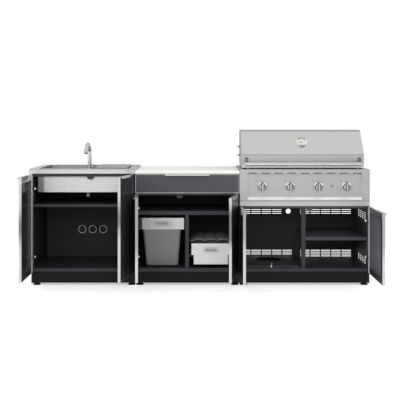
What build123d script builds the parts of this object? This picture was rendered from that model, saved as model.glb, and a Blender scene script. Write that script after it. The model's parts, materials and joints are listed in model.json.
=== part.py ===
from build123d import *
import os
from math import atan2, cos, hypot, radians, sin

# Modular outdoor kitchen: sink cabinet, counter cabinet and grill cabinet in one row.
# Millimetres. +X to the viewer's right, +Y to the back, +Z up, floor at Z = 0.

# Row of cabinets
sink_width = 812.8
centre_width = 812.8
grill_width = 1016.0
depth = 610.0
front = -64.0
carcass_height = 876.0
back_inset = 10.0
pullout_room = 110.0

# Cabinet panels
side_thickness = 18.0
back_thickness = 3.0
floor_bottom = 109.0
floor_thickness = 26.0
plinth_clearance = 20.0
plinth_setback = 12.0
plinth_thickness = 12.0
rail_depth = 18.0
rail_height = 24.0
shelf_setback = 10.0

# Levelling feet
foot_radius = 30.0
foot_disc = 5.0
foot_neck_radius = 9.0
foot_neck_gap = 1.0
foot_stud_radius = 5.0
foot_from_side = 33.0
foot_from_front = 50.0

# Doors and drawer front
door_setback = 3.0
door_thickness = 20.0
door_gap = 4.0
door_bottom = 102.0
door_reveal = 2.0
meeting_gap = 3.0
head_gap = 3.0
frame_width = 50.0
frame_lip = 4.0
glass_thickness = 4.0
glass_clearance = 0.2
pull_length = 215.0
pull_from_end = 4.0
pull_sheet = 2.0
pull_flange = 1.5
pull_flange_height = 28.0
pull_shelf = 6.0
pull_reach = 16.0
pull_drop = 11.0

# Door hinges: doors at the row's ends swing outside the end panel, the others stay inside
end_axis_from_edge = 4.0
end_axis_from_front = 16.0
inner_axis_from_edge = 9.0
inner_axis_from_front = 8.0
hinge_inset = 118.0
hinge_height = 29.4
hinge_barrel_radius = 3.5
hinge_arm_width = 5.0
hinge_foot = 2.0
hinge_plate = 3.0
hinge_plate_length = 45.0
hinge_slot_clearance = 1.1
hinge_end_clearance = 0.3
pin_radius = 2.0
pin_reach = 18.0
running_clearance = 0.05
sliding_clearance = 0.3

# Door angles in the photograph's pose, in degrees from closed
sink_left_open_angle = 90.0
sink_right_open_angle = 79.0
centre_left_open_angle = 86.0
centre_right_open_angle = 79.5
grill_left_open_angle = 90.0
grill_right_open_angle = 90.0

# Door catches, hanging from the rails
catch_width = 58.0
catch_foot_width = 34.0
catch_drop = 22.0
catch_thickness = 10.0
sink_catch_offset = 54.0
centre_catch_offset = -61.0

# Sink cabinet
sink_rim_height = 38.0
sink_overhang = 14.0
sink_sheet = 2.0
sink_return = 30.0
sink_edge_radius = 3.0
row_joint_gap = 0.5
recess_from_end = 53.0
recess_from_front = 30.0
recess_from_back = 40.0
recess_depth = 28.0
bowl_margin = 22.0
bowl_end_deck = 70.0
bowl_back_deck = 150.0
bowl_corner = 40.0
tub_side_margin = 37.0
tub_from_front = 60.0
tub_depth = 149.0
tub_corner = 12.0
sink_shelf_drop = 263.0
sink_shelf_thickness = 21.0
knockout_radius = 33.0
knockout_ring = 4.0
knockout_groove = 1.0
knockout_pitch = 89.0
knockout_offset = 88.0
knockout_rise = 230.0

# Drain
drain_flange_radius = 34.0
drain_flange_height = 3.0
drain_radius = 14.0
drain_wall = 2.0
drain_above_shelf = 40.0
drain_offset = 8.0

# Tap
tap_offset = -11.0
tap_from_back = 132.0
tap_flange_radius = 26.0
tap_flange_height = 6.0
tap_column_radius = 16.0
tap_column_height = 100.0
tap_spigot_radius = 7.0
tap_spigot_height = 16.0
spout_radius = 15.0
spout_rise = 38.0
spout_bend_radius = 70.0
spout_bend_angle = 150.0
spout_turn = 4.0
spray_radius = 17.0
spray_length = 44.0
lever_height = 18.0
lever_boss_radius = 11.0
lever_boss_length = 6.0
lever_spigot_radius = 4.0
lever_spigot_length = 8.0
lever_hub_radius = 9.0
lever_hub_length = 11.0
lever_radius = 4.0
lever_length = 24.0

# Cover board in the recess
cover_width = 248.0
cover_from_recess_end = 22.0
cover_end_gap = 8.0
cover_rise = 5.0
cover_thickness = 14.0
cover_runner_width = 12.0

# Counter cabinet
slab_thickness = 24.0
slab_edge_radius = 2.5
drawer_height = 149.0
drawer_pull_length = 343.0
drawer_wall = 10.0
drawer_base = 8.0
drawer_box_height = 97.0
drawer_box_rise = 24.0
runner_thickness = 12.7
runner_height = 34.0
mid_rail_height = 15.0
centre_shelf_drop = 325.0
centre_shelf_thickness = 30.0
centre_divider_offset = 371.0
centre_divider_width = 29.0

# Waste bin pull-out
pullout_front = 18.0
bin_runner_left = 33.7
bin_runner_right = 9.7
bin_runner_height = 26.0
bin_runner_face_width = 25.0
bin_runner_face_thickness = 5.0
collar_gap = 25.0
collar_height = 90.0
collar_depth = 430.0
collar_front_thickness = 6.0
collar_rail = 3.0
collar_rail_drop = 10.0
collar_rail_height = 26.0
collar_right_rail = 24.0
collar_handle_height = 20.0
collar_ring_height = 38.0
handle_length = 100.0
handle_ring_length = 132.0
handle_ring_width = 3.0
handle_ring_rise = 2.0
bucket_lift = 11.0
bucket_bottom_width = 254.0
bucket_bottom_depth = 300.0
bucket_wall = 3.0
bucket_corner = 24.0
bucket_clearance = 0.6
bucket_rim = 5.0

# Storage bin and bottle rack
storage_from_divider = 18.0
storage_from_side = 46.8
storage_lift = 28.0
storage_height = 163.0
storage_step_height = 74.0
storage_step = 18.0
storage_depth = 400.0
storage_wall = 3.0
storage_corner = 14.0
storage_handle_drop = 52.0
storage_handle_height = 25.0
storage_ring_height = 50.0
ledge_thickness = 19.0
ledge_back = 55.0
rack_gap = 20.0
rack_sheet = 3.0
rack_flange = 16.0
rack_pitch = 80.0
rack_wave = 13.0
rack_depth = 420.0
rack_setback = 30.0
rack_ledge_height = 11.0

# Grill cabinet
grill_side_rise = 29.0
grill_rail_gap = 1.0
grill_rail_height = 18.0
grill_divider_offset = 468.2
grill_divider_width = 32.0
grill_divider_depth = 40.0
grill_shelf_rise = 217.0
grill_shelf_thickness = 26.0
vent_length = 79.0
vent_height = 6.0
vent_pitch = 88.0
vent_from_centre = 36.0
vent_row_pitch = 16.0
vent_column_count = 5
vent_low_row_count = 4
vent_high_row_count = 4
vent_high_drop = 105.0
side_vent_column_count = 5
side_vent_length = 50.0
side_vent_height = 8.0
side_vent_pitch = 84.0
side_vent_from_front = 66.0
vent_field_sheet = 2.0
vent_field_margin = 8.0
vent_field_from_front = 50.0
vent_field_from_back = 18.0
gas_hole_radius = 21.0
gas_hole_lift = 18.0
gas_hole_from_centre = 66.0

# Gas bottle tray
tray_margin = 22.0
tray_height = 17.0
tray_sheet = 3.0
tray_hole_radius = 102.0
tray_hole_from_front = 300.0
tray_strip_width = 10.0
tray_strip_height = 10.0
clamp_screw_radius = 4.0
clamp_screw_length = 18.0
clamp_bar_gap = 2.0
clamp_bar_rise = 1.0
clamp_hook_length = 10.0

# Grill body
fascia_height = 240.0
fascia_sheet = 2.0
fascia_gap = 2.0
recess_side = 63.0
recess_above_bottom = 28.0
recess_below_top = 33.0
fascia_recess = 18.0
sill_drop = 20.0
slot_count = 9
slot_length = 70.0
slot_height = 6.0
slot_pitch = 102.0
slot_rise = 8.0
knob_rise = 78.0
knob_inner_offset = 110.0
knob_outer_offset = 329.0
bezel_radius = 39.0
bezel_hole_radius = 7.0
bezel_thickness = 6.0
knob_gap = 0.5
knob_radius = 31.0
knob_top_radius = 25.0
knob_body = 16.0
grip_width = 16.0
grip_height = 15.0
stem_radius = 4.0
stem_hole_radius = 5.0
stem_grip = 18.0
valve_width = 28.0
valve_depth = 40.0
manifold_radius = 10.0
manifold_overhang = 60.0
button_offset = 213.0
button_lift = 9.0
button_radius = 10.0
button_head = 6.0
button_travel = 3.0
button_stem_radius = 4.0
button_stem_length = 16.0

firebox_side_gap = 30.0
firebox_front = 80.0
firebox_from_back = 30.0
firebox_wall = 3.0
flange_thickness = 3.0
ledge_width = 14.0
ledge_height = 5.0
grate_drop = 22.0
tent_drop = 72.0
grate_count = 3
grate_gap = 4.0
grate_bar_count = 13
grate_bar_width = 8.0
grate_bar_height = 10.0
grate_clearance = 3.0
burner_radius = 19.0
burner_lift = 24.0
tent_half_width = 55.0
tent_rise = 26.0
tent_sheet = 2.0

drip_front_height = 38.0
drip_front_thickness = 20.0
drip_front_gap = 2.0
drip_pan_margin = 22.0
drip_pan_depth = 520.0
drip_pan_height = 24.0
drip_pan_rise = 9.0
drip_sheet = 2.0
drip_ledge = 34.0
drip_ledge_height = 9.0

# Hood
hood_side_gap = 24.0
hood_front = 118.0
hood_clearance = 7.0
hood_band = 109.0
hood_slope_back = 285.0
hood_slope_rise = 181.0
hood_crown = 7.0
hood_top_front = 300.0
hood_top_from_back = 70.0
hood_back_drop = 32.0
hood_sheet = 2.0
hood_axis_from_back = 110.0
hood_axis_rise = 85.0
hood_back_radius = 88.0
hood_bracket = 4.0
hood_bracket_width = 24.0
hood_notch_clearance = 1.5
hood_bolt_radius = 5.0
hood_bolt_out = 17.0
bumper_radius = 6.0
bumper_spread = 435.0
peg_radius = 5.0
peg_length = 17.0
peg_rise = 71.0
handle_bar_radius = 14.0
handle_bar_half = 467.0
handle_bar_rise = 34.0
handle_standoff = 55.0
handle_post_spread = 447.0
handle_post_width = 22.0
handle_post_height = 34.0
handle_post_rise = 83.0

# Thermometer
dial_radius = 42.0
dial_case = 14.0
dial_rim = 5.0
dial_recess = 6.0
dial_share = 0.49
needle_pin_radius = 1.5
needle_hub_radius = 4.5
needle_length = 28.0
needle_width = 4.0
needle_thickness = 1.2
needle_lift = 1.5
needle_rest = 120.0

# Places worked out from the sizes above
row_width = sink_width + centre_width + grill_width
sink_x0 = -row_width / 2
sink_x1 = sink_x0 + sink_width
centre_x0 = sink_x1
centre_x1 = centre_x0 + centre_width
grill_x0 = centre_x1
grill_x1 = grill_x0 + grill_width
sink_centre = (sink_x0 + sink_x1) / 2
counter_centre = (centre_x0 + centre_x1) / 2
grill_centre = (grill_x0 + grill_x1) / 2
back = front + depth
door_front = front + door_setback
door_back = door_front + door_thickness
carcass_front = door_back + door_gap
carcass_back = back - back_inset
panel_front = carcass_back - back_thickness
pullout_depth = depth - pullout_room
floor_top = floor_bottom + floor_thickness
shelf_front = carcass_front + shelf_setback
sink_door_top = carcass_height - head_gap
drawer_bottom = carcass_height - head_gap - drawer_height
centre_door_top = drawer_bottom - head_gap

tub_bottom = carcass_height - tub_depth
sink_shelf_bottom = carcass_height - sink_shelf_drop
drain_bottom = sink_shelf_bottom + sink_shelf_thickness + drain_above_shelf
knockout_height = floor_top + knockout_rise

centre_shelf_bottom = carcass_height - centre_shelf_drop
collar_bottom = centre_shelf_bottom - collar_gap - collar_height
bucket_bottom = floor_top + bucket_lift
storage_bottom = floor_top + storage_lift
rack_bottom = storage_bottom + storage_height + rack_gap

grill_side_top = carcass_height + grill_side_rise
grill_top = grill_side_top + flange_thickness
fascia_bottom = grill_side_top - fascia_height
recess_bottom = fascia_bottom + recess_above_bottom
recess_top = grill_side_top - recess_below_top
knob_height = recess_bottom + knob_rise
button_height = knob_height + button_lift
burner_height = knob_height + burner_lift
drip_front_top = fascia_bottom - head_gap
drip_front_bottom = drip_front_top - drip_front_height
grill_door_top = drip_front_bottom - head_gap
grill_rail_bottom = drip_front_bottom - grill_rail_gap - grill_rail_height
grill_shelf_bottom = floor_top + grill_shelf_rise
vent_low = floor_top + vent_height / 2
vent_high = grill_rail_bottom - vent_high_drop
gas_hole_height = vent_high + gas_hole_lift

hood_bottom = grill_top + hood_clearance
hood_band_top = hood_bottom + hood_band
hood_slope_top = hood_band_top + hood_slope_rise
hood_top = hood_slope_top + hood_crown
hood_back_top = hood_top - hood_back_drop
hood_axis_height = hood_bottom + hood_axis_rise
handle_bar_height = hood_bottom + handle_bar_rise
handle_post_top = hood_bottom + handle_post_rise

nodes = {}


def add(name, *shapes):
    """Put the solids of the shapes into the named node."""
    for shape in shapes:
        nodes.setdefault(name, []).extend(shape.solids())


def block(x0, x1, y0, y1, z0, z1):
    """A box between two corners."""
    return Pos((x0 + x1) / 2, (y0 + y1) / 2, (z0 + z1) / 2) * Box(x1 - x0, y1 - y0, z1 - z0)


def rod(start, end, radius):
    """A round bar from one point to another."""
    run = Vector(*end) - Vector(*start)
    ends = (Align.CENTER, Align.CENTER, Align.MIN)
    return Plane(origin=start, z_dir=run) * Cylinder(radius, run.length, align=ends)


def prism_x(outline, x0, x1):
    """An outline of (Y, Z) points, extruded along X."""
    face = Plane.YZ.offset(x0) * Polygon(*outline, align=None)
    return extrude(face, amount=x1 - x0, dir=(1, 0, 0))


def prism_y(outline, y0, y1):
    """An outline of (X, Z) points, extruded along Y."""
    face = Plane.XZ.offset(-y1) * Polygon(*outline, align=None)
    return extrude(face, amount=y1 - y0, dir=(0, -1, 0))


def rounded_block(x0, x1, y0, y1, z0, z1, radius):
    """A box whose upright edges are rounded."""
    outline = Pos((x0 + x1) / 2, (y0 + y1) / 2, z0) * RectangleRounded(x1 - x0, y1 - y0, radius)
    return extrude(outline, amount=z1 - z0, dir=(0, 0, 1))


def stadium_y(x, z, length, height, y0, y1):
    """A slot shape with round ends, lying along X and extruded along Y."""
    outline = Plane.XZ.offset(-y1) * Pos(x, z) * SlotOverall(length, height)
    return extrude(outline, amount=y1 - y0, dir=(0, -1, 0))


# Cabinets


def cabinet_shell(name, x0, x1, top):
    """Side panels, floor pan, plinth, levelling feet and upper rails of one cabinet."""
    inner0 = x0 + side_thickness
    inner1 = x1 - side_thickness
    left = block(x0, inner0, carcass_front, carcass_back, plinth_clearance, top)
    right = block(inner1, x1, carcass_front, carcass_back, plinth_clearance, top)
    if name == "grill":
        vents = side_vents(x0, x1)
        left = left - vents
        right = right - vents
    add(name + "_side_panels", left, right)
    add("floor_pans", block(inner0, inner1, carcass_front, panel_front, floor_bottom, floor_top))
    plinth_y = carcass_front + plinth_setback
    board = block(inner0, inner1, plinth_y, plinth_y + plinth_thickness, plinth_clearance, floor_bottom)
    add("plinth_boards", board)
    for x in (x0 + foot_from_side, x1 - foot_from_side):
        for y in (carcass_front + foot_from_front, carcass_back - foot_from_front):
            add("levelling_feet", Pos(x, y, 0) * levelling_foot())


def levelling_foot():
    """A disc foot with a threaded stud up to the floor pan."""
    outline = Polyline(
        (0, 0),
        (foot_radius, 0),
        (foot_radius, foot_disc),
        (foot_neck_radius, plinth_clearance - foot_neck_gap),
        (foot_stud_radius, plinth_clearance - foot_neck_gap),
        (foot_stud_radius, floor_bottom),
        (0, floor_bottom),
        close=True,
    )
    return revolve(Plane.XZ * make_face(outline), Axis.Z)


def cross_rail(x0, x1, z0, z1, y0):
    """A rail between the side panels of a cabinet."""
    return block(x0 + side_thickness, x1 - side_thickness, y0, y0 + rail_depth, z0, z1)


def top_rails(x0, x1):
    """Front and back rail under a worktop."""
    low = carcass_height - rail_height
    add("carcass_rails", cross_rail(x0, x1, low, carcass_height, carcass_front))
    add("carcass_rails", cross_rail(x0, x1, low, carcass_height, panel_front - rail_depth))


def door_catch(x, rail_bottom):
    """A tapered catch plate under a front rail."""
    outline = [
        (x - catch_width / 2, rail_bottom),
        (x + catch_width / 2, rail_bottom),
        (x + catch_foot_width / 2, rail_bottom - catch_drop),
        (x - catch_foot_width / 2, rail_bottom - catch_drop),
    ]
    return prism_y(outline, carcass_front, carcass_front + catch_thickness)


def shelf(x0, x1, bottom, thickness):
    """A shelf that spans between two upright faces."""
    return block(x0, x1, shelf_front, panel_front, bottom, bottom + thickness)


def vent_rows(start, count):
    """Heights of the rows of slots in a vent field."""
    return [start + row * vent_row_pitch for row in range(count)]


def side_vents(x0, x1):
    """Slots through both side panels of the grill cabinet, in fields sunk from inside to thin sheet."""
    first = carcass_front + side_vent_from_front
    field0 = carcass_front + vent_field_from_front
    field1 = panel_front - vent_field_from_back
    half = side_vent_height / 2
    edge = half + vent_field_margin
    cuts = []
    low = vent_rows(vent_low + vent_row_pitch / 2, vent_low_row_count)
    high = vent_rows(vent_high, vent_high_row_count)
    for rows in (low, high):
        inside0 = x0 + vent_field_sheet
        inside1 = x1 - vent_field_sheet
        cuts.append(block(inside0, inside1, field0, field1, rows[0] - edge, rows[-1] + edge))
        for z in rows:
            for column in range(side_vent_column_count):
                y0 = first + column * side_vent_pitch
                y1 = y0 + side_vent_length
                cuts.append(block(x0, x1, y0, y1, z - half, z + half))
    return cuts


def back_panel(x0, x1, top):
    """A sheet between the side panels, from the floor pan's underside to the top."""
    return block(x0 + side_thickness, x1 - side_thickness, panel_front, carcass_back, floor_bottom, top)


def sink_back_panel():
    """The sink cabinet's back, with three round knock-outs scored into its face."""
    panel = back_panel(sink_x0, sink_x1, carcass_height)
    middle = sink_centre + knockout_offset - knockout_pitch
    for place in (-1, 0, 1):
        centre = (middle + place * knockout_pitch, panel_front, knockout_height)
        far = (centre[0], panel_front + knockout_groove, knockout_height)
        groove = rod(centre, far, knockout_radius) - rod(centre, far, knockout_radius - knockout_ring)
        panel = panel - groove
    add("sink_back_panel", panel)


def grill_back_panel():
    """The grill cabinet's back, with vent fields and a hole for the gas line."""
    panel = back_panel(grill_x0, grill_x1, grill_rail_bottom + grill_rail_height)
    low = vent_rows(vent_low, vent_low_row_count)
    high = vent_rows(vent_high, vent_high_row_count)
    cuts = []
    for side in (-1, 1):
        for column in range(vent_column_count):
            x = grill_centre + side * (vent_from_centre + vent_length / 2 + column * vent_pitch)
            x0 = x - vent_length / 2
            gas_column = side < 0 and column == 0
            for z in low + ([] if gas_column else high):
                z0 = z - vent_height / 2
                cuts.append(block(x0, x0 + vent_length, panel_front, carcass_back, z0, z0 + vent_height))
    gas_x = grill_centre - gas_hole_from_centre
    gas_start = (gas_x, panel_front, gas_hole_height)
    gas_end = (gas_x, carcass_back, gas_hole_height)
    cuts.append(rod(gas_start, gas_end, gas_hole_radius))
    add("grill_back_panel", panel - cuts)


# Doors


def leaf(width, bottom, top, pull_start, pull_run):
    """Frame, glass and pull of a door or drawer front: outer face at Y = 0, from X = 0 to its width."""
    frame_top = top - pull_sheet
    frame = block(0, width, 0, door_thickness, bottom, frame_top)
    frame -= block(
        frame_width,
        width - frame_width,
        0,
        door_thickness,
        bottom + frame_width,
        frame_top - frame_width,
    )
    rebate_top = frame_top - frame_lip
    frame -= block(frame_lip, width - frame_lip, 0, glass_thickness, bottom + frame_lip, rebate_top)
    inset = frame_lip + glass_clearance
    glass = block(inset, width - inset, 0, glass_thickness, bottom + inset, frame_top - inset)
    outline = [
        (door_thickness, top - pull_flange_height),
        (door_thickness + pull_flange, top - pull_flange_height),
        (door_thickness + pull_flange, top),
        (-pull_shelf, top),
        (-pull_reach, top - pull_drop),
        (-pull_reach + pull_flange, top - pull_drop - pull_flange),
        (-pull_shelf + pull_flange / 2, top - pull_sheet),
        (door_thickness, top - pull_sheet),
    ]
    pull = prism_x(outline, pull_start, pull_start + pull_run)
    return frame, glass, pull


def door(name, x0, x1, hinge_side, top, angle, at_end):
    """One hinged door with its frame, glass, pull, hinge brackets and pins."""
    edge = end_axis_from_edge if at_end else inner_axis_from_edge
    ahead = end_axis_from_front if at_end else inner_axis_from_front
    width = (x1 - x0 - 2 * door_reveal - meeting_gap) / 2
    frame, glass, pull = leaf(width, door_bottom, top, width - pull_from_end - pull_length, pull_length)
    heights = (door_bottom + hinge_inset, top - hinge_inset)
    slot = hinge_barrel_radius + hinge_slot_clearance
    half = hinge_height / 2 + hinge_end_clearance
    for z in heights:
        frame -= block(0, edge + slot, ahead - slot, door_thickness, z - half, z + half)
        reach = half + pin_reach + hinge_end_clearance
        frame -= rod((edge, ahead, z - reach), (edge, ahead, z + reach), pin_radius + running_clearance)
    left = hinge_side == "left"
    axis_x = x0 + door_reveal + edge if left else x1 - door_reveal - edge
    axis_y = door_front + ahead
    turn = Pos(axis_x, axis_y, 0) * Rot(0, 0, -angle if left else angle)

    def hang(shape):
        shape = Pos(-edge, -ahead, 0) * shape
        return turn * (shape if left else mirror(shape, about=Plane.YZ))

    add(name + "_door_frame", hang(frame), hang(pull))
    add(name + "_door_glass", hang(glass))
    for z in heights:
        bracket = hinge_bracket(edge, carcass_front - axis_y, z)
        bracket = bracket if left else mirror(bracket, about=Plane.YZ)
        pin_half = half + pin_reach
        add("door_hinges", Pos(axis_x, axis_y, 0) * bracket)
        add("door_hinges", rod((axis_x, axis_y, z - pin_half), (axis_x, axis_y, z + pin_half), pin_radius))


def hinge_bracket(edge, setback, z):
    """Barrel, arm and angle plate of one hinge, about its own axis."""
    z0 = z - hinge_height / 2
    z1 = z + hinge_height / 2
    inner = side_thickness - door_reveal - edge
    half_arm = hinge_arm_width / 2
    bracket = rod((0, 0, z0), (0, 0, z1), hinge_barrel_radius)
    bracket += block(-half_arm, half_arm, 0, setback, z0, z1)
    bracket += block(-half_arm, inner + hinge_plate, setback - hinge_foot, setback, z0, z1)
    bracket += block(inner, inner + hinge_plate, setback - hinge_foot, setback + hinge_plate_length, z0, z1)
    return bracket - rod((0, 0, z0), (0, 0, z1), pin_radius)


# Sink cabinet


def sink_cabinet():
    """Carcass, top, basin, drain, tap and cover of the sink cabinet."""
    cabinet_shell("sink", sink_x0, sink_x1, carcass_height)
    top_rails(sink_x0, sink_x1)
    sink_back_panel()
    shelf_x0 = sink_x0 + side_thickness
    shelf_x1 = sink_x1 - side_thickness
    add("shelves", shelf(shelf_x0, shelf_x1, sink_shelf_bottom, sink_shelf_thickness))
    add("carcass_rails", door_catch(sink_centre + sink_catch_offset, carcass_height - rail_height))
    sink_top()
    tap()


def sink_top():
    """Folded stainless top with a recessed deck, and the tub, drain and cover that belong to it."""
    x0 = sink_x0 - sink_overhang
    x1 = sink_x1 - row_joint_gap
    z1 = carcass_height + sink_rim_height
    deck = z1 - recess_depth
    skin = block(x0, x1, front, back, carcass_height, z1)
    rim_edges = skin.faces().sort_by(Axis.Z)[-1].edges()
    skin = fillet(rim_edges, sink_edge_radius)
    skin -= block(
        x0 + sink_sheet,
        x1 - sink_sheet,
        front + sink_sheet,
        back - sink_sheet,
        carcass_height + sink_sheet,
        z1 - sink_sheet,
    )
    skin -= block(
        x0 + sink_return,
        x1 - sink_return,
        front + sink_return,
        back - sink_return,
        carcass_height,
        carcass_height + sink_sheet,
    )
    rx0 = sink_x0 + recess_from_end
    rx1 = sink_x1 - recess_from_end
    ry0 = front + recess_from_front
    ry1 = back - recess_from_back
    skin += block(
        rx0 - sink_sheet,
        rx1 + sink_sheet,
        ry0 - sink_sheet,
        ry1 + sink_sheet,
        deck - sink_sheet,
        z1 - sink_sheet,
    )
    skin -= block(rx0, rx1, ry0, ry1, deck, z1)
    bx0 = rx0 + bowl_margin
    bx1 = rx1 - bowl_end_deck
    by0 = front + tub_from_front + bowl_margin
    by1 = ry1 - bowl_back_deck
    mouth = rounded_block(bx0, bx1, by0, by1, tub_bottom + sink_sheet, z1, bowl_corner)
    add("sink_top", skin - mouth)

    tx0 = sink_x0 + tub_side_margin
    tx1 = bx1 + bx0 - tx0
    ty0 = front + tub_from_front
    ty1 = by1 + bowl_margin
    tub_top = deck - sink_sheet
    tub = rounded_block(tx0, tx1, ty0, ty1, tub_bottom, tub_top, tub_corner)
    tub -= rounded_block(
        tx0 + sink_sheet,
        tx1 - sink_sheet,
        ty0 + sink_sheet,
        ty1 - sink_sheet,
        tub_bottom + sink_sheet,
        tub_top - sink_sheet,
        tub_corner - sink_sheet,
    )
    drain_x = sink_centre + drain_offset
    drain_y = (by0 + by1) / 2
    drain_hole = rod((drain_x, drain_y, tub_bottom), (drain_x, drain_y, tub_top), drain_radius)
    add("sink_basin", tub - mouth - drain_hole)
    add("drain_tail", Pos(drain_x, drain_y, 0) * drain())
    cover_board(rx1, ry0, ry1, z1)


def drain():
    """Drain flange and tailpiece as one turned piece."""
    seat = tub_bottom + sink_sheet
    outline = Polyline(
        (drain_radius - drain_wall, drain_bottom),
        (drain_radius, drain_bottom),
        (drain_radius, seat),
        (drain_flange_radius, seat),
        (drain_flange_radius, seat + drain_flange_height),
        (drain_radius - drain_wall, seat + drain_flange_height),
        close=True,
    )
    return revolve(Plane.XZ * make_face(outline), Axis.Z)


def cover_board(recess_end, ry0, ry1, rim):
    """A cover across the recess, which slides along the deck on a runner at each end."""
    x1 = recess_end - cover_from_recess_end
    x0 = x1 - cover_width
    top = rim + cover_rise
    bottom = top - cover_thickness
    foot = rim - recess_depth + sliding_clearance
    near = ry0 + cover_end_gap
    far = ry1 - cover_end_gap
    board = block(x0, x1, near, far, bottom, top)
    for y0 in (near, far - cover_runner_width):
        board += block(x0, x1, y0, y0 + cover_runner_width, foot, bottom)
    add("cover_board", board)


def tap():
    """Tap column with a swivelling spout and a side lever."""
    x = sink_centre + tap_offset
    y = back - tap_from_back
    deck = carcass_height + sink_rim_height - recess_depth
    top = deck + tap_column_height
    boss_z = deck + lever_height
    boss_end = x + tap_column_radius + lever_boss_length
    body = rod((x, y, deck), (x, y, deck + tap_flange_height), tap_flange_radius)
    body += rod((x, y, deck), (x, y, top), tap_column_radius)
    body += rod((x, y, top), (x, y, top + tap_spigot_height), tap_spigot_radius)
    body += rod((x, y, boss_z), (boss_end, y, boss_z), lever_boss_radius)
    body += rod((boss_end, y, boss_z), (boss_end + lever_spigot_length, y, boss_z), lever_spigot_radius)
    add("tap_body", body)

    start = top + sliding_clearance
    bend = Vector(0, -spout_bend_radius, start + spout_rise)
    sweep_end = radians(spout_bend_angle)
    tip = bend + Vector(0, cos(sweep_end), sin(sweep_end)) * spout_bend_radius
    heading = Vector(0, -sin(sweep_end), cos(sweep_end))
    half = sweep_end / 2
    crown = bend + Vector(0, cos(half), sin(half)) * spout_bend_radius
    path = Wire(
        [
            Line((0, 0, start), (0, 0, start + spout_rise)).edge(),
            ThreePointArc((0, 0, start + spout_rise), crown, tip).edge(),
        ]
    )
    spout = sweep(Plane.XY.offset(start) * Circle(spout_radius), path=path)
    spout += rod(tip, tip + heading * spray_length, spray_radius)
    socket = tap_spigot_height + sliding_clearance
    bore_radius = tap_spigot_radius + running_clearance
    spout -= rod((0, 0, start), (0, 0, start + socket), bore_radius)
    add("tap_spout", Pos(x, y, 0) * Rot(0, 0, -spout_turn) * spout)

    hub_start = boss_end + sliding_clearance
    lever = rod((hub_start, y, boss_z), (hub_start + lever_hub_length, y, boss_z), lever_hub_radius)
    stick_x = hub_start + lever_hub_length / 2
    lever += rod((stick_x, y, boss_z), (stick_x, y, boss_z + lever_length), lever_radius)
    socket_end = hub_start + lever_spigot_length
    lever -= rod((hub_start, y, boss_z), (socket_end, y, boss_z), lever_spigot_radius + running_clearance)
    add("tap_lever", lever)


# Counter cabinet


def counter_cabinet():
    """Carcass, worktop slab, drawer and pull-outs of the middle cabinet."""
    cabinet_shell("centre", centre_x0, centre_x1, carcass_height)
    top_rails(centre_x0, centre_x1)
    add("centre_back_panel", back_panel(centre_x0, centre_x1, carcass_height))
    rail_bottom = centre_door_top - mid_rail_height
    add("carcass_rails", cross_rail(centre_x0, centre_x1, rail_bottom, centre_door_top, carcass_front))
    add("carcass_rails", door_catch(counter_centre + centre_catch_offset, rail_bottom))
    inner0 = centre_x0 + side_thickness
    inner1 = centre_x1 - side_thickness
    add("shelves", shelf(inner0, inner1, centre_shelf_bottom, centre_shelf_thickness))
    divider0 = inner0 + centre_divider_offset
    divider1 = divider0 + centre_divider_width
    divider = block(divider0, divider1, shelf_front, panel_front, floor_top, centre_shelf_bottom)
    add("dividers", divider)
    slab_x0 = centre_x0 + row_joint_gap
    slab_x1 = centre_x1 - row_joint_gap
    slab = block(slab_x0, slab_x1, front, back, carcass_height, carcass_height + slab_thickness)
    add("worktop_slab", fillet(slab.faces().sort_by(Axis.Z)[-1].edges(), slab_edge_radius))
    drawer(inner0, inner1)
    waste_bin(inner0, divider0)
    storage_bin(divider1, inner1)
    bottle_rack(divider1, inner1)


def drawer(inner0, inner1):
    """Drawer front, drawer box and its runners."""
    width = centre_width - 2 * door_reveal
    pull_start = (width - drawer_pull_length) / 2
    top = drawer_bottom + drawer_height
    pieces = leaf(width, drawer_bottom, top, pull_start, drawer_pull_length)
    place = Pos(centre_x0 + door_reveal, door_front, 0)
    frame, glass, pull = [place * piece for piece in pieces]
    add("drawer_frame", frame, pull)
    add("drawer_glass", glass)
    x0 = inner0 + runner_thickness + sliding_clearance
    x1 = inner1 - runner_thickness - sliding_clearance
    z0 = drawer_bottom + drawer_box_rise
    z1 = z0 + drawer_box_height
    box = block(x0, x1, door_back, door_back + pullout_depth, z0, z1)
    box -= block(
        x0 + drawer_wall,
        x1 - drawer_wall,
        door_back + drawer_wall,
        door_back + pullout_depth - drawer_wall,
        z0 + drawer_base,
        z1,
    )
    add("drawer_box", box)
    middle = (z0 + z1) / 2
    for side0, side1 in ((inner0, inner0 + runner_thickness), (inner1 - runner_thickness, inner1)):
        add(
            "pullout_runners",
            block(
                side0,
                side1,
                carcass_front,
                carcass_front + pullout_depth,
                middle - runner_height / 2,
                middle + runner_height / 2,
            ),
        )


def handle_slot(x, z, height, y0, y1):
    """The through slot of a bin handle."""
    return stadium_y(x, z, handle_length, height, y0, y1)


def handle_ring(x, z, height, face_y):
    """A raised ring round a bin handle, on the face towards the viewer."""
    y0 = face_y - handle_ring_rise
    ring = stadium_y(x, z, handle_ring_length, height, y0, face_y)
    inner_length = handle_ring_length - 2 * handle_ring_width
    inner_height = height - 2 * handle_ring_width
    return ring - stadium_y(x, z, inner_length, inner_height, y0, face_y)


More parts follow.
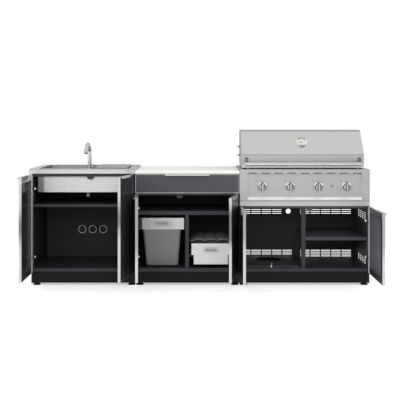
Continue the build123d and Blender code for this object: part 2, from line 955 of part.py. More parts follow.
def waste_bin(inner0, divider0):
    """Pull-out collar with its bucket, on a runner at each side."""
    y0 = carcass_front + pullout_front
    y1 = y0 + collar_depth
    x0 = inner0 + bin_runner_left + sliding_clearance
    x1 = divider0 - bin_runner_right - sliding_clearance
    top = collar_bottom + collar_height
    rail_top = top - collar_rail_drop
    rail_bottom = rail_top - collar_rail_height
    handle_x = (inner0 + divider0) / 2
    handle_z = (collar_bottom + top) / 2
    inside_y = y0 + collar_front_thickness
    collar = block(x0, x1, y0, inside_y, collar_bottom, top)
    collar += handle_ring(handle_x, handle_z, collar_ring_height, y0)
    collar -= handle_slot(handle_x, handle_z, collar_handle_height, y0 - handle_ring_rise, inside_y)
    collar += block(x0, x0 + collar_rail, inside_y, y1, rail_bottom, rail_top)
    collar += block(x1 - collar_right_rail, x1, inside_y, y1, rail_bottom, rail_top)
    collar += block(x0, x1, y1 - collar_front_thickness, y1, rail_bottom, rail_top)
    add("bin_collar", collar)

    bx0 = x0 + collar_rail + bucket_clearance
    bx1 = x1 - collar_right_rail - bucket_clearance
    by0 = inside_y + bucket_clearance
    by1 = y1 - collar_front_thickness - bucket_clearance
    add("bin_bucket", bucket(bx0, bx1, by0, by1, rail_top))

    runner_top = rail_top - bucket_rim
    runner_bottom = runner_top - bin_runner_height
    runner_back = y0 + pullout_depth
    face_x1 = x0 - sliding_clearance
    left = block(inner0, face_x1, y0, runner_back, runner_bottom, runner_top)
    face_y1 = y0 + bin_runner_face_thickness
    left += block(face_x1 - bin_runner_face_width, face_x1, y0, face_y1, collar_bottom, top)
    right = block(divider0 - bin_runner_right, divider0, y0, runner_back, runner_bottom, runner_top)
    add("pullout_runners", left, right)


def bucket(x0, x1, y0, y1, rim_seat):
    """A tapered bucket whose rim rests on the collar's rails."""
    middle_x = (x0 + x1) / 2
    middle_y = (y0 + y1) / 2

    def form(shrink, base, roof):
        floor = Pos(middle_x, middle_y, base) * RectangleRounded(
            bucket_bottom_width - 2 * shrink, bucket_bottom_depth - 2 * shrink, bucket_corner - shrink
        )
        waist = Pos(middle_x, middle_y, collar_bottom) * RectangleRounded(
            x1 - x0 - 2 * shrink, y1 - y0 - 2 * shrink, bucket_corner - shrink
        )
        taper = loft([floor.face(), waist.face()])
        return taper + extrude(waist, amount=roof - collar_bottom, dir=(0, 0, 1))

    rim_top = rim_seat + bucket_rim
    outside = form(0, bucket_bottom, rim_top)
    rim_reach = collar_rail
    rim = rounded_block(x0 - rim_reach, x1 + rim_reach, y0, y1, rim_seat, rim_top, bucket_corner)
    inside = form(bucket_wall, bucket_bottom + bucket_wall, rim_top)
    return outside + rim - inside


def storage_bin(divider1, inner1):
    """White bin with a step at each side, which slides on two ledges."""
    y0 = carcass_front + pullout_front
    y1 = y0 + storage_depth
    x0 = divider1 + storage_from_divider
    x1 = inner1 - storage_from_side
    step_z = storage_bottom + storage_step_height
    top = storage_bottom + storage_height
    wall = storage_wall

    def form(shrink, base, roof):
        lower = rounded_block(
            x0 + storage_step + shrink,
            x1 - storage_step - shrink,
            y0 + shrink,
            y1 - shrink,
            base,
            step_z + shrink,
            storage_corner - shrink,
        )
        upper = rounded_block(
            x0 + shrink, x1 - shrink, y0 + shrink, y1 - shrink, step_z + shrink, roof, storage_corner - shrink
        )
        return lower + upper

    handle_x = (x0 + x1) / 2
    handle_z = top - storage_handle_drop
    bin_body = form(0, storage_bottom, top) - form(wall, storage_bottom + wall, top)
    bin_body += handle_ring(handle_x, handle_z, storage_ring_height, y0)
    bin_body -= handle_slot(handle_x, handle_z, storage_handle_height, y0 - handle_ring_rise, y0 + wall)
    add("storage_bin", bin_body)

    ledge_top = step_z - sliding_clearance
    ledge_y0 = carcass_front + ledge_back
    for lx0, lx1 in (
        (divider1, x0 + storage_step - sliding_clearance),
        (x1 - storage_step + sliding_clearance, inner1),
    ):
        add("pullout_runners", block(lx0, lx1, ledge_y0, y1, ledge_top - ledge_thickness, ledge_top))


def bottle_rack(divider1, inner1):
    """A sheet pressed into waves, with flat flanges that slide on two ledges."""
    x0 = divider1 + storage_from_divider
    x1 = inner1 - storage_from_side
    y0 = carcass_front + rack_setback
    y1 = y0 + rack_depth
    wave0 = x0 + rack_flange
    wave1 = x1 - rack_flange
    count = max(1, round((wave1 - wave0) / rack_pitch))
    pitch = (wave1 - wave0) / count
    seat = rack_bottom + rack_sheet / 2
    line = [Line((x0, seat), (wave0, seat)).edge()]
    for wave in range(count):
        a = wave0 + wave * pitch
        line.append(ThreePointArc((a, seat), (a + pitch / 2, seat + rack_wave), (a + pitch, seat)).edge())
    line.append(Line((wave1, seat), (x1, seat)).edge())
    outline = trace(line, rack_sheet)
    add("bottle_rack", extrude(Plane.XZ.offset(-y1) * outline, amount=rack_depth))
    ledge_top = rack_bottom - sliding_clearance
    ledge_y0 = carcass_front + ledge_back
    for lx0, lx1 in ((divider1, wave0), (wave1, inner1)):
        add("pullout_runners", block(lx0, lx1, ledge_y0, y1, ledge_top - rack_ledge_height, ledge_top))


# Grill cabinet


def grill_cabinet():
    """Carcass, divider, shelf and gas bottle tray of the grill cabinet."""
    cabinet_shell("grill", grill_x0, grill_x1, grill_side_top)
    grill_back_panel()
    rail_top = grill_rail_bottom + grill_rail_height
    add("carcass_rails", cross_rail(grill_x0, grill_x1, grill_rail_bottom, rail_top, carcass_front))
    inner0 = grill_x0 + side_thickness
    inner1 = grill_x1 - side_thickness
    divider0 = inner0 + grill_divider_offset
    divider1 = divider0 + grill_divider_width
    divider_back = shelf_front + grill_divider_depth
    add("dividers", block(divider0, divider1, shelf_front, divider_back, floor_top, grill_rail_bottom))
    add("shelves", shelf(divider1, inner1, grill_shelf_bottom, grill_shelf_thickness))
    add("carcass_rails", door_catch(divider1 + catch_width / 2, grill_rail_bottom))
    gas_tray(inner0, divider0)


def gas_tray(inner0, divider0):
    """Raised tray for a gas bottle, which slides between two strips on the floor."""
    x0 = inner0 + tray_margin
    x1 = divider0 - tray_margin
    y0 = carcass_front + pullout_front
    y1 = y0 + pullout_depth
    z0 = floor_top + sliding_clearance
    z1 = z0 + tray_height
    tray = block(x0, x1, y0, y1, z0, z1)
    tray -= block(x0 + tray_sheet, x1 - tray_sheet, y0 + tray_sheet, y1 - tray_sheet, z0, z1 - tray_sheet)
    middle = (x0 + x1) / 2
    hole_y = y0 + tray_hole_from_front
    tray -= rod((middle, hole_y, z0), (middle, hole_y, z1), tray_hole_radius)
    screw_z = (z0 + z1) / 2
    screw_in = y0 + clamp_screw_length
    tray -= rod((middle, y0, screw_z), (middle, screw_in, screw_z), clamp_screw_radius)
    bar_y = y0 - clamp_bar_gap - clamp_screw_radius
    bar_top = z1 + clamp_bar_rise
    hook_z = bar_top - clamp_screw_radius
    screw = rod((middle, bar_y, screw_z), (middle, screw_in, screw_z), clamp_screw_radius)
    screw += rod((middle, bar_y, screw_z - clamp_screw_radius), (middle, bar_y, bar_top), clamp_screw_radius)
    screw += rod((middle - clamp_hook_length, bar_y, hook_z), (middle, bar_y, hook_z), clamp_screw_radius)
    add("gas_bottle_tray", tray, screw)
    for sx1 in (x0 - sliding_clearance, x1 + sliding_clearance + tray_strip_width):
        strip_top = floor_top + tray_strip_height
        add("pullout_runners", block(sx1 - tray_strip_width, sx1, y0, y1, floor_top, strip_top))


# Grill


def knob_places():
    """X of each knob, from left to right."""
    offsets = (-knob_outer_offset, -knob_inner_offset, knob_inner_offset, knob_outer_offset)
    return [grill_centre + offset for offset in offsets]


def grill():
    """Fascia with its controls, firebox with burners and grates, drip tray and hood."""
    fascia()
    controls()
    firebox()
    drip_tray()
    hood()


def fascia():
    """Folded control panel with a sunk field for the knobs, and a bezel behind each knob."""
    sheet = fascia_sheet
    face = front + fascia_recess
    fx0 = grill_x0 + recess_side
    fx1 = grill_x1 - recess_side
    gx0 = grill_x0 + fascia_gap
    gx1 = grill_x1 - fascia_gap
    panel = block(gx0, gx1, front, carcass_front, fascia_bottom, grill_top)
    panel -= block(fx0, fx1, front, face, recess_bottom, recess_top)
    sill = [(front, recess_bottom - sill_drop), (face, recess_bottom), (front, recess_bottom)]
    panel -= prism_x(sill, fx0, fx1)
    rear = face + sheet
    low = fascia_bottom + sheet
    high = grill_top - sheet
    panel -= block(gx0 + sheet, gx1 - sheet, rear, carcass_front, low, high)
    for hx0, hx1 in ((gx0 + sheet, fx0 - sheet), (fx1 + sheet, gx1 - sheet)):
        panel -= block(hx0, hx1, front + sheet, rear, low, high)
    panel -= block(fx0 - sheet, fx1 + sheet, front + sheet, rear, recess_top + sheet, high)
    slot_z = recess_top + slot_rise
    first = grill_centre - (slot_count - 1) * slot_pitch / 2
    cuts = []
    for place in range(slot_count):
        x = first + place * slot_pitch
        cuts.append(stadium_y(x, slot_z, slot_length, slot_height, front, front + sheet))
    for x in knob_places():
        cuts.append(rod((x, face, knob_height), (x, rear, knob_height), stem_hole_radius))
    button_x = grill_centre + button_offset
    button_bore = button_stem_radius + running_clearance
    cuts.append(rod((button_x, face, button_height), (button_x, rear, button_height), button_bore))
    add("control_fascia", panel - cuts)
    for x in knob_places():
        bezel = rod((x, face - bezel_thickness, knob_height), (x, face, knob_height), bezel_radius)
        rim = bezel.faces().sort_by(Axis.Y)[0].edges()
        bezel = chamfer(rim, bezel_thickness / 2)
        bezel -= rod((x, face - bezel_thickness, knob_height), (x, face, knob_height), bezel_hole_radius)
        add("knob_bezels", bezel)


def controls():
    """Gas manifold with a valve and stem behind each knob, the knobs, and the spark button."""
    face = front + fascia_recess
    rear = face + fascia_sheet
    places = knob_places()
    pipe_y = rear + valve_depth - manifold_radius
    ends = (places[0] - manifold_overhang, places[-1] + manifold_overhang)
    manifold = rod((ends[0], pipe_y, knob_height), (ends[1], pipe_y, knob_height), manifold_radius)
    knob_back = face - bezel_thickness - knob_gap
    stem_end = knob_back - stem_grip
    half = valve_width / 2
    low = knob_height - half
    high = knob_height + half
    for x in places:
        manifold += block(x - half, x + half, rear, rear + valve_depth, low, high)
        manifold += rod((x, stem_end, knob_height), (x, rear, knob_height), stem_radius)
    add("gas_manifold", manifold)
    for number, x in enumerate(places, start=1):
        add(f"knob_{number}", knob(x, knob_back))

    x = grill_centre + button_offset
    head_back = face - button_travel - knob_gap
    button = rod((x, head_back - button_head, button_height), (x, head_back, button_height), button_radius)
    button = fillet(button.faces().sort_by(Axis.Y)[0].edges(), button_head / 4)
    stem_back = face + button_stem_length
    button += rod((x, head_back, button_height), (x, stem_back, button_height), button_stem_radius)
    add("spark_button", button)


def knob(x, knob_back):
    """A tapered knob with a grip bar across its face and a bore for the valve stem."""
    body_front = knob_back - knob_body
    frustum = Plane(origin=(x, knob_back, knob_height), z_dir=(0, -1, 0)) * Cone(
        knob_radius, knob_top_radius, knob_body, align=(Align.CENTER, Align.CENTER, Align.MIN)
    )
    grip = stadium_y(0, 0, 2 * knob_radius, grip_width, body_front - grip_height, body_front)
    grip = Pos(x, 0, knob_height) * Rot(0, 90, 0) * grip
    crown = grip.faces().sort_by(Axis.Y)[0].edges()
    grip = chamfer(crown, grip_width / 8)
    bore_end = knob_back - stem_grip - knob_gap
    bore_radius = stem_radius + running_clearance
    bore = rod((x, bore_end, knob_height), (x, knob_back, knob_height), bore_radius)
    return frustum + grip - bore


def firebox():
    """Open steel box with a top flange, burners, heat tents and cooking grates."""
    x0 = grill_x0 + firebox_side_gap
    x1 = grill_x1 - firebox_side_gap
    y0 = front + firebox_front
    y1 = back - firebox_from_back
    wall = firebox_wall
    box = block(x0, x1, y0, y1, fascia_bottom, grill_top)
    box += block(grill_x0, grill_x1, carcass_front, back, grill_side_top, grill_top)
    ix0, ix1, iy0, iy1 = x0 + wall, x1 - wall, y0 + wall, y1 - wall
    box -= block(ix0, ix1, iy0, iy1, fascia_bottom, grill_top)
    seats = (grill_top - grate_drop, grill_top - tent_drop)
    for seat in seats:
        for ly0, ly1 in ((iy0, iy0 + ledge_width), (iy1 - ledge_width, iy1)):
            box += block(ix0, ix1, ly0, ly1, seat - ledge_height, seat)
    valve_back = front + fascia_recess + fascia_sheet + valve_depth
    for x in knob_places():
        box -= rod((x, y0, burner_height), (x, iy0, burner_height), burner_radius + sliding_clearance)
        add("burners", rod((x, valve_back, burner_height), (x, iy1, burner_height), burner_radius))
        add("heat_tents", heat_tent(x, iy0 + grate_clearance, iy1 - grate_clearance, seats[1]))
    add("firebox", box)
    grate_width = (ix1 - ix0 - (grate_count + 1) * grate_gap) / grate_count
    for number in range(grate_count):
        gx0 = ix0 + grate_gap + number * (grate_width + grate_gap)
        gy0 = iy0 + grate_clearance
        gy1 = iy1 - grate_clearance
        add("cooking_grates", cooking_grate(gx0, gx0 + grate_width, gy0, gy1, seats[0]))


def heat_tent(x, y0, y1, seat):
    """A folded tent that stands over one burner."""
    slope = tent_sheet * 1.2
    outline = [
        (x - tent_half_width, seat),
        (x, seat + tent_rise),
        (x + tent_half_width, seat),
        (x + tent_half_width - slope, seat),
        (x, seat + tent_rise - tent_sheet),
        (x - tent_half_width + slope, seat),
    ]
    return prism_y(outline, y0, y1)


def cooking_grate(x0, x1, y0, y1, seat):
    """Bars from front to back, joined by two cross bars."""
    top = seat + grate_bar_height
    step = (x1 - x0 - grate_bar_width) / (grate_bar_count - 1)
    bars = [
        block(x0 + number * step, x0 + number * step + grate_bar_width, y0, y1, seat, top)
        for number in range(grate_bar_count)
    ]
    low = seat + grate_bar_height / 2
    for share in (0.25, 0.75):
        y = y0 + share * (y1 - y0)
        bars.append(block(x0, x1, y - grate_bar_width / 2, y + grate_bar_width / 2, seat, low))
    return bars[0] + bars[1:]


def drip_tray():
    """Full-width tray below the firebox, whose front is the band under the fascia."""
    x0 = grill_x0 + side_thickness + drip_pan_margin
    x1 = grill_x1 - side_thickness - drip_pan_margin
    y0 = front + drip_front_thickness
    y1 = y0 + drip_pan_depth
    z0 = drip_front_bottom + drip_pan_rise
    z1 = z0 + drip_pan_height
    tray = block(
        grill_x0 + drip_front_gap, grill_x1 - drip_front_gap, front, y0, drip_front_bottom, drip_front_top
    )
    tray += block(x0, x1, y0, y1, z0, z1)
    tray -= block(x0 + drip_sheet, x1 - drip_sheet, y0 + drip_sheet, y1 - drip_sheet, z0 + drip_sheet, z1)
    add("drip_tray", tray)
    inner0 = grill_x0 + side_thickness
    inner1 = grill_x1 - side_thickness
    ledge_top = z0 - sliding_clearance
    ledge_y0 = carcass_front + rail_depth
    for lx0, lx1 in ((inner0, inner0 + drip_ledge), (inner1 - drip_ledge, inner1)):
        add("pullout_runners", block(lx0, lx1, ledge_y0, y1, ledge_top - drip_ledge_height, ledge_top))


def hood_outline(inset):
    """The hood's side outline as (Y, Z) edges, moved inwards by the inset."""
    axis_y = back - hood_axis_from_back
    radius = hood_back_radius - inset
    slope = Vector(hood_slope_back - hood_front, hood_slope_top - hood_band_top).normalized()
    normal = Vector(slope.Y, -slope.X)
    roof = hood_top - inset
    low = hood_bottom
    face_y = front + hood_front + inset
    foot = Vector(front + hood_front, hood_band_top) + normal * inset
    along = (face_y - foot.X) / slope.X
    knee = foot + slope * along
    shoulder_run = (front + hood_slope_back + normal.X * inset - foot.X) / slope.X
    shoulder = foot + slope * shoulder_run
    back_y = axis_y + radius
    drop = hood_axis_height - low
    arc_end_y = axis_y + (radius**2 - drop**2) ** 0.5
    turn = atan2(-drop, arc_end_y - axis_y) / 2
    arc_mid = (axis_y + radius * cos(turn), hood_axis_height + radius * sin(turn))
    points = [
        (arc_end_y, low),
        (face_y, low),
        (face_y, knee.Y),
        (shoulder.X, shoulder.Y),
        (front + hood_top_front, roof),
        (back - hood_top_from_back, roof),
        (back_y - (hood_top - hood_back_top) / 2, hood_back_top - inset),
        (back_y, hood_axis_height),
    ]
    edges = [Line(a, b).edge() for a, b in zip(points, points[1:])]
    edges.append(ThreePointArc(points[-1], arc_mid, points[0]).edge())
    return make_face(edges)


def hood():
    """Hood shell, handle, pivots, pegs, bumpers and thermometer."""
    x0 = grill_x0 + hood_side_gap
    x1 = grill_x1 - hood_side_gap
    axis_y = back - hood_axis_from_back
    axis_z = hood_axis_height
    shell = extrude(Plane.YZ.offset(x0) * hood_outline(0), amount=x1 - x0)
    hollow = extrude(
        Plane.YZ.offset(x0 + hood_sheet) * hood_outline(hood_sheet), amount=x1 - x0 - 2 * hood_sheet
    )
    bolt_bore = hood_bolt_radius + running_clearance
    shell = shell - hollow - rod((x0, axis_y, axis_z), (x1, axis_y, axis_z), bolt_bore)
    notch = sliding_clearance + hood_bracket + hood_notch_clearance
    for nx0 in (x0 + hood_sheet, x1 - hood_sheet - notch):
        shell -= block(nx0, nx0 + notch, axis_y, back, hood_bottom, axis_z)
    add("hood", shell)
    for side, wall in ((1, x0), (-1, x1)):
        peg_z = axis_z + peg_rise
        add("hood", rod((wall, axis_y, peg_z), (wall - side * peg_length, axis_y, peg_z), peg_radius))
        inside = wall + side * (hood_sheet + sliding_clearance)
        far = inside + side * hood_bracket
        half = hood_bracket_width / 2
        bracket = block(min(inside, far), max(inside, far), axis_y - half, axis_y + half, grill_top, axis_z)
        bracket += rod((inside, axis_y, axis_z), (far, axis_y, axis_z), half)
        bolt = rod((far, axis_y, axis_z), (wall - side * hood_bolt_out, axis_y, axis_z), hood_bolt_radius)
        add("hood_pivots", bracket + bolt)
        bumper_x = grill_centre - side * bumper_spread
        bumper_y = front + hood_front + bumper_radius / 2
        bumper_top = hood_bottom - sliding_clearance
        bumper = rod((bumper_x, bumper_y, grill_top), (bumper_x, bumper_y, bumper_top), bumper_radius)
        add("hood_pivots", bumper)
    hood_handle()
    thermometer()


def hood_handle():
    """Full-width bar on two posts in front of the hood."""
    face = front + hood_front
    bar_y = face - handle_standoff
    bar = rod(
        (grill_centre - handle_bar_half, bar_y, handle_bar_height),
        (grill_centre + handle_bar_half, bar_y, handle_bar_height),
        handle_bar_radius,
    )
    outline = [
        (face, handle_post_top),
        (face, handle_post_top - handle_post_height),
        (bar_y + handle_bar_radius / 2, handle_bar_height - handle_bar_radius / 2),
        (bar_y - handle_bar_radius / 2, handle_bar_height + handle_bar_radius / 2),
    ]
    for side in (-1, 1):
        x = grill_centre + side * handle_post_spread
        bar += prism_x(outline, x - handle_post_width / 2, x + handle_post_width / 2)
    add("hood_handle", bar)


def thermometer():
    """Dial case on the hood's slope, with a needle on a pin at its middle."""
    run = hood_slope_back - hood_front
    rise = hood_slope_top - hood_band_top
    length = hypot(run, rise)
    normal = Vector(0, -rise / length, run / length)
    seat = Vector(
        grill_centre, front + hood_front + dial_share * run, hood_band_top + dial_share * rise
    )
    floor = seat + normal * (dial_case - dial_recess)
    rim = seat + normal * dial_case
    case = rod(seat, rim, dial_radius) - rod(floor, rim, dial_radius - dial_rim)
    needle_base = floor + normal * needle_lift
    needle_top = needle_base + normal * needle_thickness
    case += rod(floor, needle_top, needle_pin_radius)
    add("thermometer_case", case)
    plane = Plane(origin=needle_base, x_dir=(1, 0, 0), z_dir=normal)
    flat = Circle(needle_hub_radius) + Pos(0, needle_length / 2) * Rectangle(needle_width, needle_length)
    flat -= Circle(needle_pin_radius + running_clearance)
    add("thermometer_needle", extrude(plane * Rot(0, 0, needle_rest) * flat, amount=needle_thickness))


sink_cabinet()
counter_cabinet()
grill_cabinet()
grill()
door("sink_left", sink_x0, sink_x1, "left", sink_door_top, sink_left_open_angle, True)
door("sink_right", sink_x0, sink_x1, "right", sink_door_top, sink_right_open_angle, False)
door("centre_left", centre_x0, centre_x1, "left", centre_door_top, centre_left_open_angle, False)
door("centre_right", centre_x0, centre_x1, "right", centre_door_top, centre_right_open_angle, False)
door("grill_left", grill_x0, grill_x1, "left", grill_door_top, grill_left_open_angle, False)
door("grill_right", grill_x0, grill_x1, "right", grill_door_top, grill_right_open_angle, True)

os.makedirs("parts", exist_ok=True)
for name, solids in nodes.items():
    shape = solids[0] if len(solids) == 1 else Compound(solids)
    export_step(shape, f"parts/{name}.step")
print(len(nodes), "nodes,", sum(len(solids) for solids in nodes.values()), "solids")
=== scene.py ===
import bmesh
import bpy
import json
import math
from mathutils import Matrix, Vector


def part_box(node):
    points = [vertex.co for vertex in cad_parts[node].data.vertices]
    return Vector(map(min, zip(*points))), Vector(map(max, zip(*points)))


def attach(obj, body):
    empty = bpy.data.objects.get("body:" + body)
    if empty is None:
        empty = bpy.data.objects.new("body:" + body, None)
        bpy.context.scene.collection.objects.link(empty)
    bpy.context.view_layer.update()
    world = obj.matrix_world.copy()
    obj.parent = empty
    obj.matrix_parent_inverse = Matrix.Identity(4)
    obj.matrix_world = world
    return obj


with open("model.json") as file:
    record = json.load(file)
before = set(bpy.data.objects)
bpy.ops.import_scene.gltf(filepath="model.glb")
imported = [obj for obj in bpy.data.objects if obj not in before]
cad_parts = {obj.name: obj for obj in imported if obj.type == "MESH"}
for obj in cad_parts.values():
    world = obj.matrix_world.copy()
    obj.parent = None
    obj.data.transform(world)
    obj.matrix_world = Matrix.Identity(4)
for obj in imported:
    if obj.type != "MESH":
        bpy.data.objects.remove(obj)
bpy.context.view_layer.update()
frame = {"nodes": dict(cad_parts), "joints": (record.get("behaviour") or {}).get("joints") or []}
nodes = frame["nodes"]
print("kitchen: frame loaded,", len(nodes), "nodes")


class Sock:  # a node socket that takes part in plain arithmetic
    def __init__(self, finish, socket):
        self.finish = finish
        self.socket = socket

    def maths(self, operation, first, second):
        return self.finish.node("ShaderNodeMath", {"operation": operation}, {0: first, 1: second})

    def __add__(self, other):
        return self.maths("ADD", self, other)

    def __radd__(self, other):
        return self.maths("ADD", other, self)

    def __sub__(self, other):
        return self.maths("SUBTRACT", self, other)

    def __rsub__(self, other):
        return self.maths("SUBTRACT", other, self)

    def __mul__(self, other):
        return self.maths("MULTIPLY", self, other)

    def __rmul__(self, other):
        return self.maths("MULTIPLY", other, self)

    def __pow__(self, other):
        return self.maths("POWER", self, other)

    def __rpow__(self, other):
        return self.maths("POWER", other, self)

    def above(self, start, end):  # 0 before start, 1 after end, smooth between
        ends = {"Value": self, "From Min": start, "From Max": end}
        return self.finish.node("ShaderNodeMapRange", {"interpolation_type": "SMOOTHSTEP"}, ends)

    def between(self, start, end, soft):  # 1 inside a stretch, 0 outside
        return self.above(start - soft, start + soft) * (1 - self.above(end - soft, end + soft))

    def swing(self, amount):  # a noise's ups and downs round its middle
        return (self - 0.5) * amount

    def most(self, other):
        return self.maths("MAXIMUM", self, other)


class Finish:  # one material, or the world, and its nodes
    def __init__(self, owner):
        self.owner = bpy.data.materials.new(owner) if isinstance(owner, str) else owner
        self.owner.use_nodes = True
        self.tree = self.owner.node_tree
        self.tree.nodes.clear()
        self.kept = {}

    def node(self, kind, settings=None, inputs=None, output=0):
        made = self.tree.nodes.new(kind)
        for key, value in (settings or {}).items():
            setattr(made, key, value)
        for key, value in (inputs or {}).items():
            if isinstance(value, Sock):
                self.tree.links.new(value.socket, made.inputs[key])
            else:
                made.inputs[key].default_value = value
        return Sock(self, made.outputs[output])

    def once(self, key, make):
        if key not in self.kept:
            self.kept[key] = make()
        return self.kept[key]

    def place(self):  # metres in the row's frame, fixed to the piece
        return self.once("place", lambda: self.node("ShaderNodeTexCoord", output="Object"))

    def along(self, axis):
        return self.once(axis, lambda: self.node("ShaderNodeSeparateXYZ", None, {0: self.place()}, axis))

    def flat(self):  # the face's own normal
        return self.once("flat", lambda: self.node("ShaderNodeNewGeometry", output="Normal"))

    def softEdge(self, corner):  # the normal, rounded over the corners
        return self.once("edge", lambda: self.node("ShaderNodeBevel", {"samples": 4}, {"Radius": corner}))

    def wear(self, corner, gain=6):  # high on a corner, 0 on a flat: paler worn corners on paint and iron, a painted highlight on metal corners
        match = {0: self.softEdge(corner), 1: self.flat()}
        return (1 - self.node("ShaderNodeVectorMath", {"operation": "DOT_PRODUCT"}, match, "Value")) * gain

    def zoned(self, shade, look):  # painted light and shade: lighter or darker stretches along an axis
        for axis, start, end, soft, gain in look.get("zones", ()):
            shade = shade * (1 + self.along(axis).between(start, end, soft) * gain)
        return shade

    def noise(self, perMetre, detail=2.0, gain=0.5):
        steps = perMetre if isinstance(perMetre, tuple) else (perMetre,) * 3
        spread = self.node("ShaderNodeVectorMath", {"operation": "MULTIPLY"}, {0: self.place(), 1: steps})
        inputs = {"Vector": spread, "Scale": 1.0, "Detail": detail, "Roughness": gain}
        return self.node("ShaderNodeTexNoise", None, inputs)

    def speckle(self, perMetre):
        inputs = {"Vector": self.place(), "Scale": perMetre}
        return self.node("ShaderNodeTexVoronoi", None, inputs, "Distance")

    def mix(self, factor, first, second):  # 6, 7 and output 2 are the mix node's colour sockets
        return self.node("ShaderNodeMix", {"data_type": "RGBA"}, {0: factor, 6: first, 7: second}, 2)

    def scale(self, colour, factor):
        tint = colour if isinstance(colour, Sock) else tuple(colour[:3])
        return self.node("ShaderNodeVectorMath", {"operation": "SCALE"}, {0: tint, "Scale": factor})

    def bump(self, height, strength, depth, corner):
        inputs = {"Strength": strength, "Distance": depth, "Height": height, "Normal": self.softEdge(corner)}
        return self.node("ShaderNodeBump", None, inputs)

    def surface(self, shader):
        kind = "World" if isinstance(self.owner, bpy.types.World) else "Material"
        out = self.tree.nodes.new("ShaderNodeOutput" + kind)
        self.tree.links.new(shader.socket, out.inputs["Surface"])
        return self.owner

    def coat(self, **inputs):
        named = {key.replace("_", " "): value for key, value in inputs.items()}
        return self.surface(self.node("ShaderNodeBsdfPrincipled", None, named))


def grey(tone):
    return (tone, tone, tone, 1)


def brushedSteel(name, look):  # metal drawn along one axis: hairlines, cloudy polish, corners brightened as a painted highlight
    f = Finish(name)
    long, fine, corner = look["long"], look["fine"], 0.0016
    hair = f.noise(tuple(long if axis == look["run"] else fine for axis in "xyz"), detail=3.0, gain=0.6)
    band = f.noise(tuple(long * 0.4 if axis == look["run"] else fine * 0.09 for axis in "xyz"))
    cloud = f.noise(look.get("cloud", 3.5), detail=3.0)
    shade = 1 + hair.swing(look["hair"]) + band.swing(look["drift"]) + cloud.swing(look.get("mottle", 0.06))
    tone = f.scale(look["tone"], f.zoned(shade + f.wear(corner) * 0.12, look))
    rough = look["rough"] + hair.swing(0.16) + cloud.swing(0.10)
    normal = f.bump(hair * 0.7 + band * 0.3, strength=0.10, depth=0.0003, corner=corner)
    return f.coat(Base_Color=tone, Metallic=1.0, Roughness=rough, Normal=normal)


def powderCoat(name, look):  # baked paint: orange peel, fine specks, dust in the low gloss, paler corners
    f = Finish(name)
    corner = look.get("corner", 0.002)
    peel = f.noise(520.0)
    speck = f.noise(1700.0, detail=1.0)
    dust = f.noise(6.0, detail=4.0, gain=0.6)
    tone = f.mix(f.wear(corner) * look.get("wear", 0.25), look["tone"], look["edge"])
    tone = f.scale(tone, f.zoned(1 + speck.swing(0.35) + dust.swing(0.22), look))
    rough = look["rough"] + dust.swing(0.18) + peel.swing(0.08)
    normal = f.bump(peel * 0.8 + speck * 0.2, strength=0.16, depth=0.0005, corner=corner)
    return f.coat(Base_Color=tone, Roughness=rough, Specular_IOR_Level=look["gloss"], Normal=normal)


def mouldedPlastic(name, look):  # fine spark texture, faint flow streaks, level scuffs
    f = Finish(name)
    corner = 0.0022
    spark = f.noise(900.0, gain=0.6)
    flow = f.noise((9.0, 9.0, 2.2), detail=3.0)
    scuff = f.noise((30.0, 30.0, 160.0), detail=3.0, gain=0.7).above(0.60, 0.74)
    shade = 1 + spark.swing(0.08) + flow.swing(0.10) - scuff * 0.06 + f.wear(corner) * 0.10
    shade = f.zoned(shade, look)
    if "patch" in look:  # painted light, with ribs, on the wall that shows through a grip slot
        (x0, x1), (z0, z1), soft, gain = look["patch"]
        rib = f.noise((160.0, 0.0, 0.0), detail=0.0).above(0.40, 0.60)
        spot = f.along("X").between(x0, x1, soft) * f.along("Z").between(z0, z1, soft)
        shade = shade * (1 + spot * (gain - rib * gain * 0.4))
    tone = f.scale(look["tone"], shade)
    rough = look["rough"] + spark.swing(0.14) + scuff * 0.12
    normal = f.bump(spark, strength=0.10, depth=0.0003, corner=corner)
    return f.coat(Base_Color=tone, Roughness=rough, Specular_IOR_Level=look["gloss"], Normal=normal)


def polished(name, look):  # plated metal: faint smears, fine wipe marks, soft corners with a painted highlight
    f = Finish(name)
    corner = look.get("corner", 0.0012)
    smear = f.noise(26.0, detail=3.0, gain=0.6)
    wipe = f.noise((60.0, 900.0, 900.0))
    shade = 1 + smear.swing(0.12) + wipe.swing(0.06) + f.wear(corner) * look.get("cornerGlow", 0.15)
    shade = f.zoned(shade, look)
    if "under" in look:  # painted light: brighter where the metal looks down
        down = 0 - f.node("ShaderNodeSeparateXYZ", None, {0: f.flat()}, "Z")
        shade = shade * (1 + down.above(0.0, 0.6) * look["under"])
    rough = look["rough"] + smear.swing(0.10) + wipe.swing(0.05)
    normal = f.bump(wipe, strength=0.05, depth=0.0002, corner=corner)
    return f.coat(Base_Color=f.scale(look["tone"], shade), Metallic=1.0, Roughness=rough, Normal=normal)


def paintedGlass(name, look):  # slate paint behind glass: deep gloss, wipe marks, a faint cast in the paint
    f = Finish(name)
    corner = 0.0012
    smear = f.noise((7.0, 7.0, 3.0), detail=4.0, gain=0.6)
    streak = f.noise((60.0, 60.0, 1.5))
    grain = f.noise(700.0)
    shade = 1 + smear.swing(0.14) + grain.swing(0.10) + streak.swing(0.06) + f.wear(corner) * 0.6
    tone = f.scale(look["tone"], f.zoned(shade, look))
    rough = look["rough"] + smear.swing(0.12)
    normal = f.bump(grain, strength=0.03, depth=0.0002, corner=corner)
    return f.coat(Base_Color=tone, Roughness=rough, Specular_IOR_Level=look["gloss"], Normal=normal)


def enamel(name, tone):  # fired gloss paint for small marks
    f = Finish(name)
    craze = f.noise(240.0, detail=3.0)
    shaded = f.scale(tone, 1 + craze.swing(0.06))
    normal = f.bump(craze, strength=0.03, depth=0.0002, corner=0.0006)
    return f.coat(Base_Color=shaded, Roughness=0.24 + craze.swing(0.1), Normal=normal)


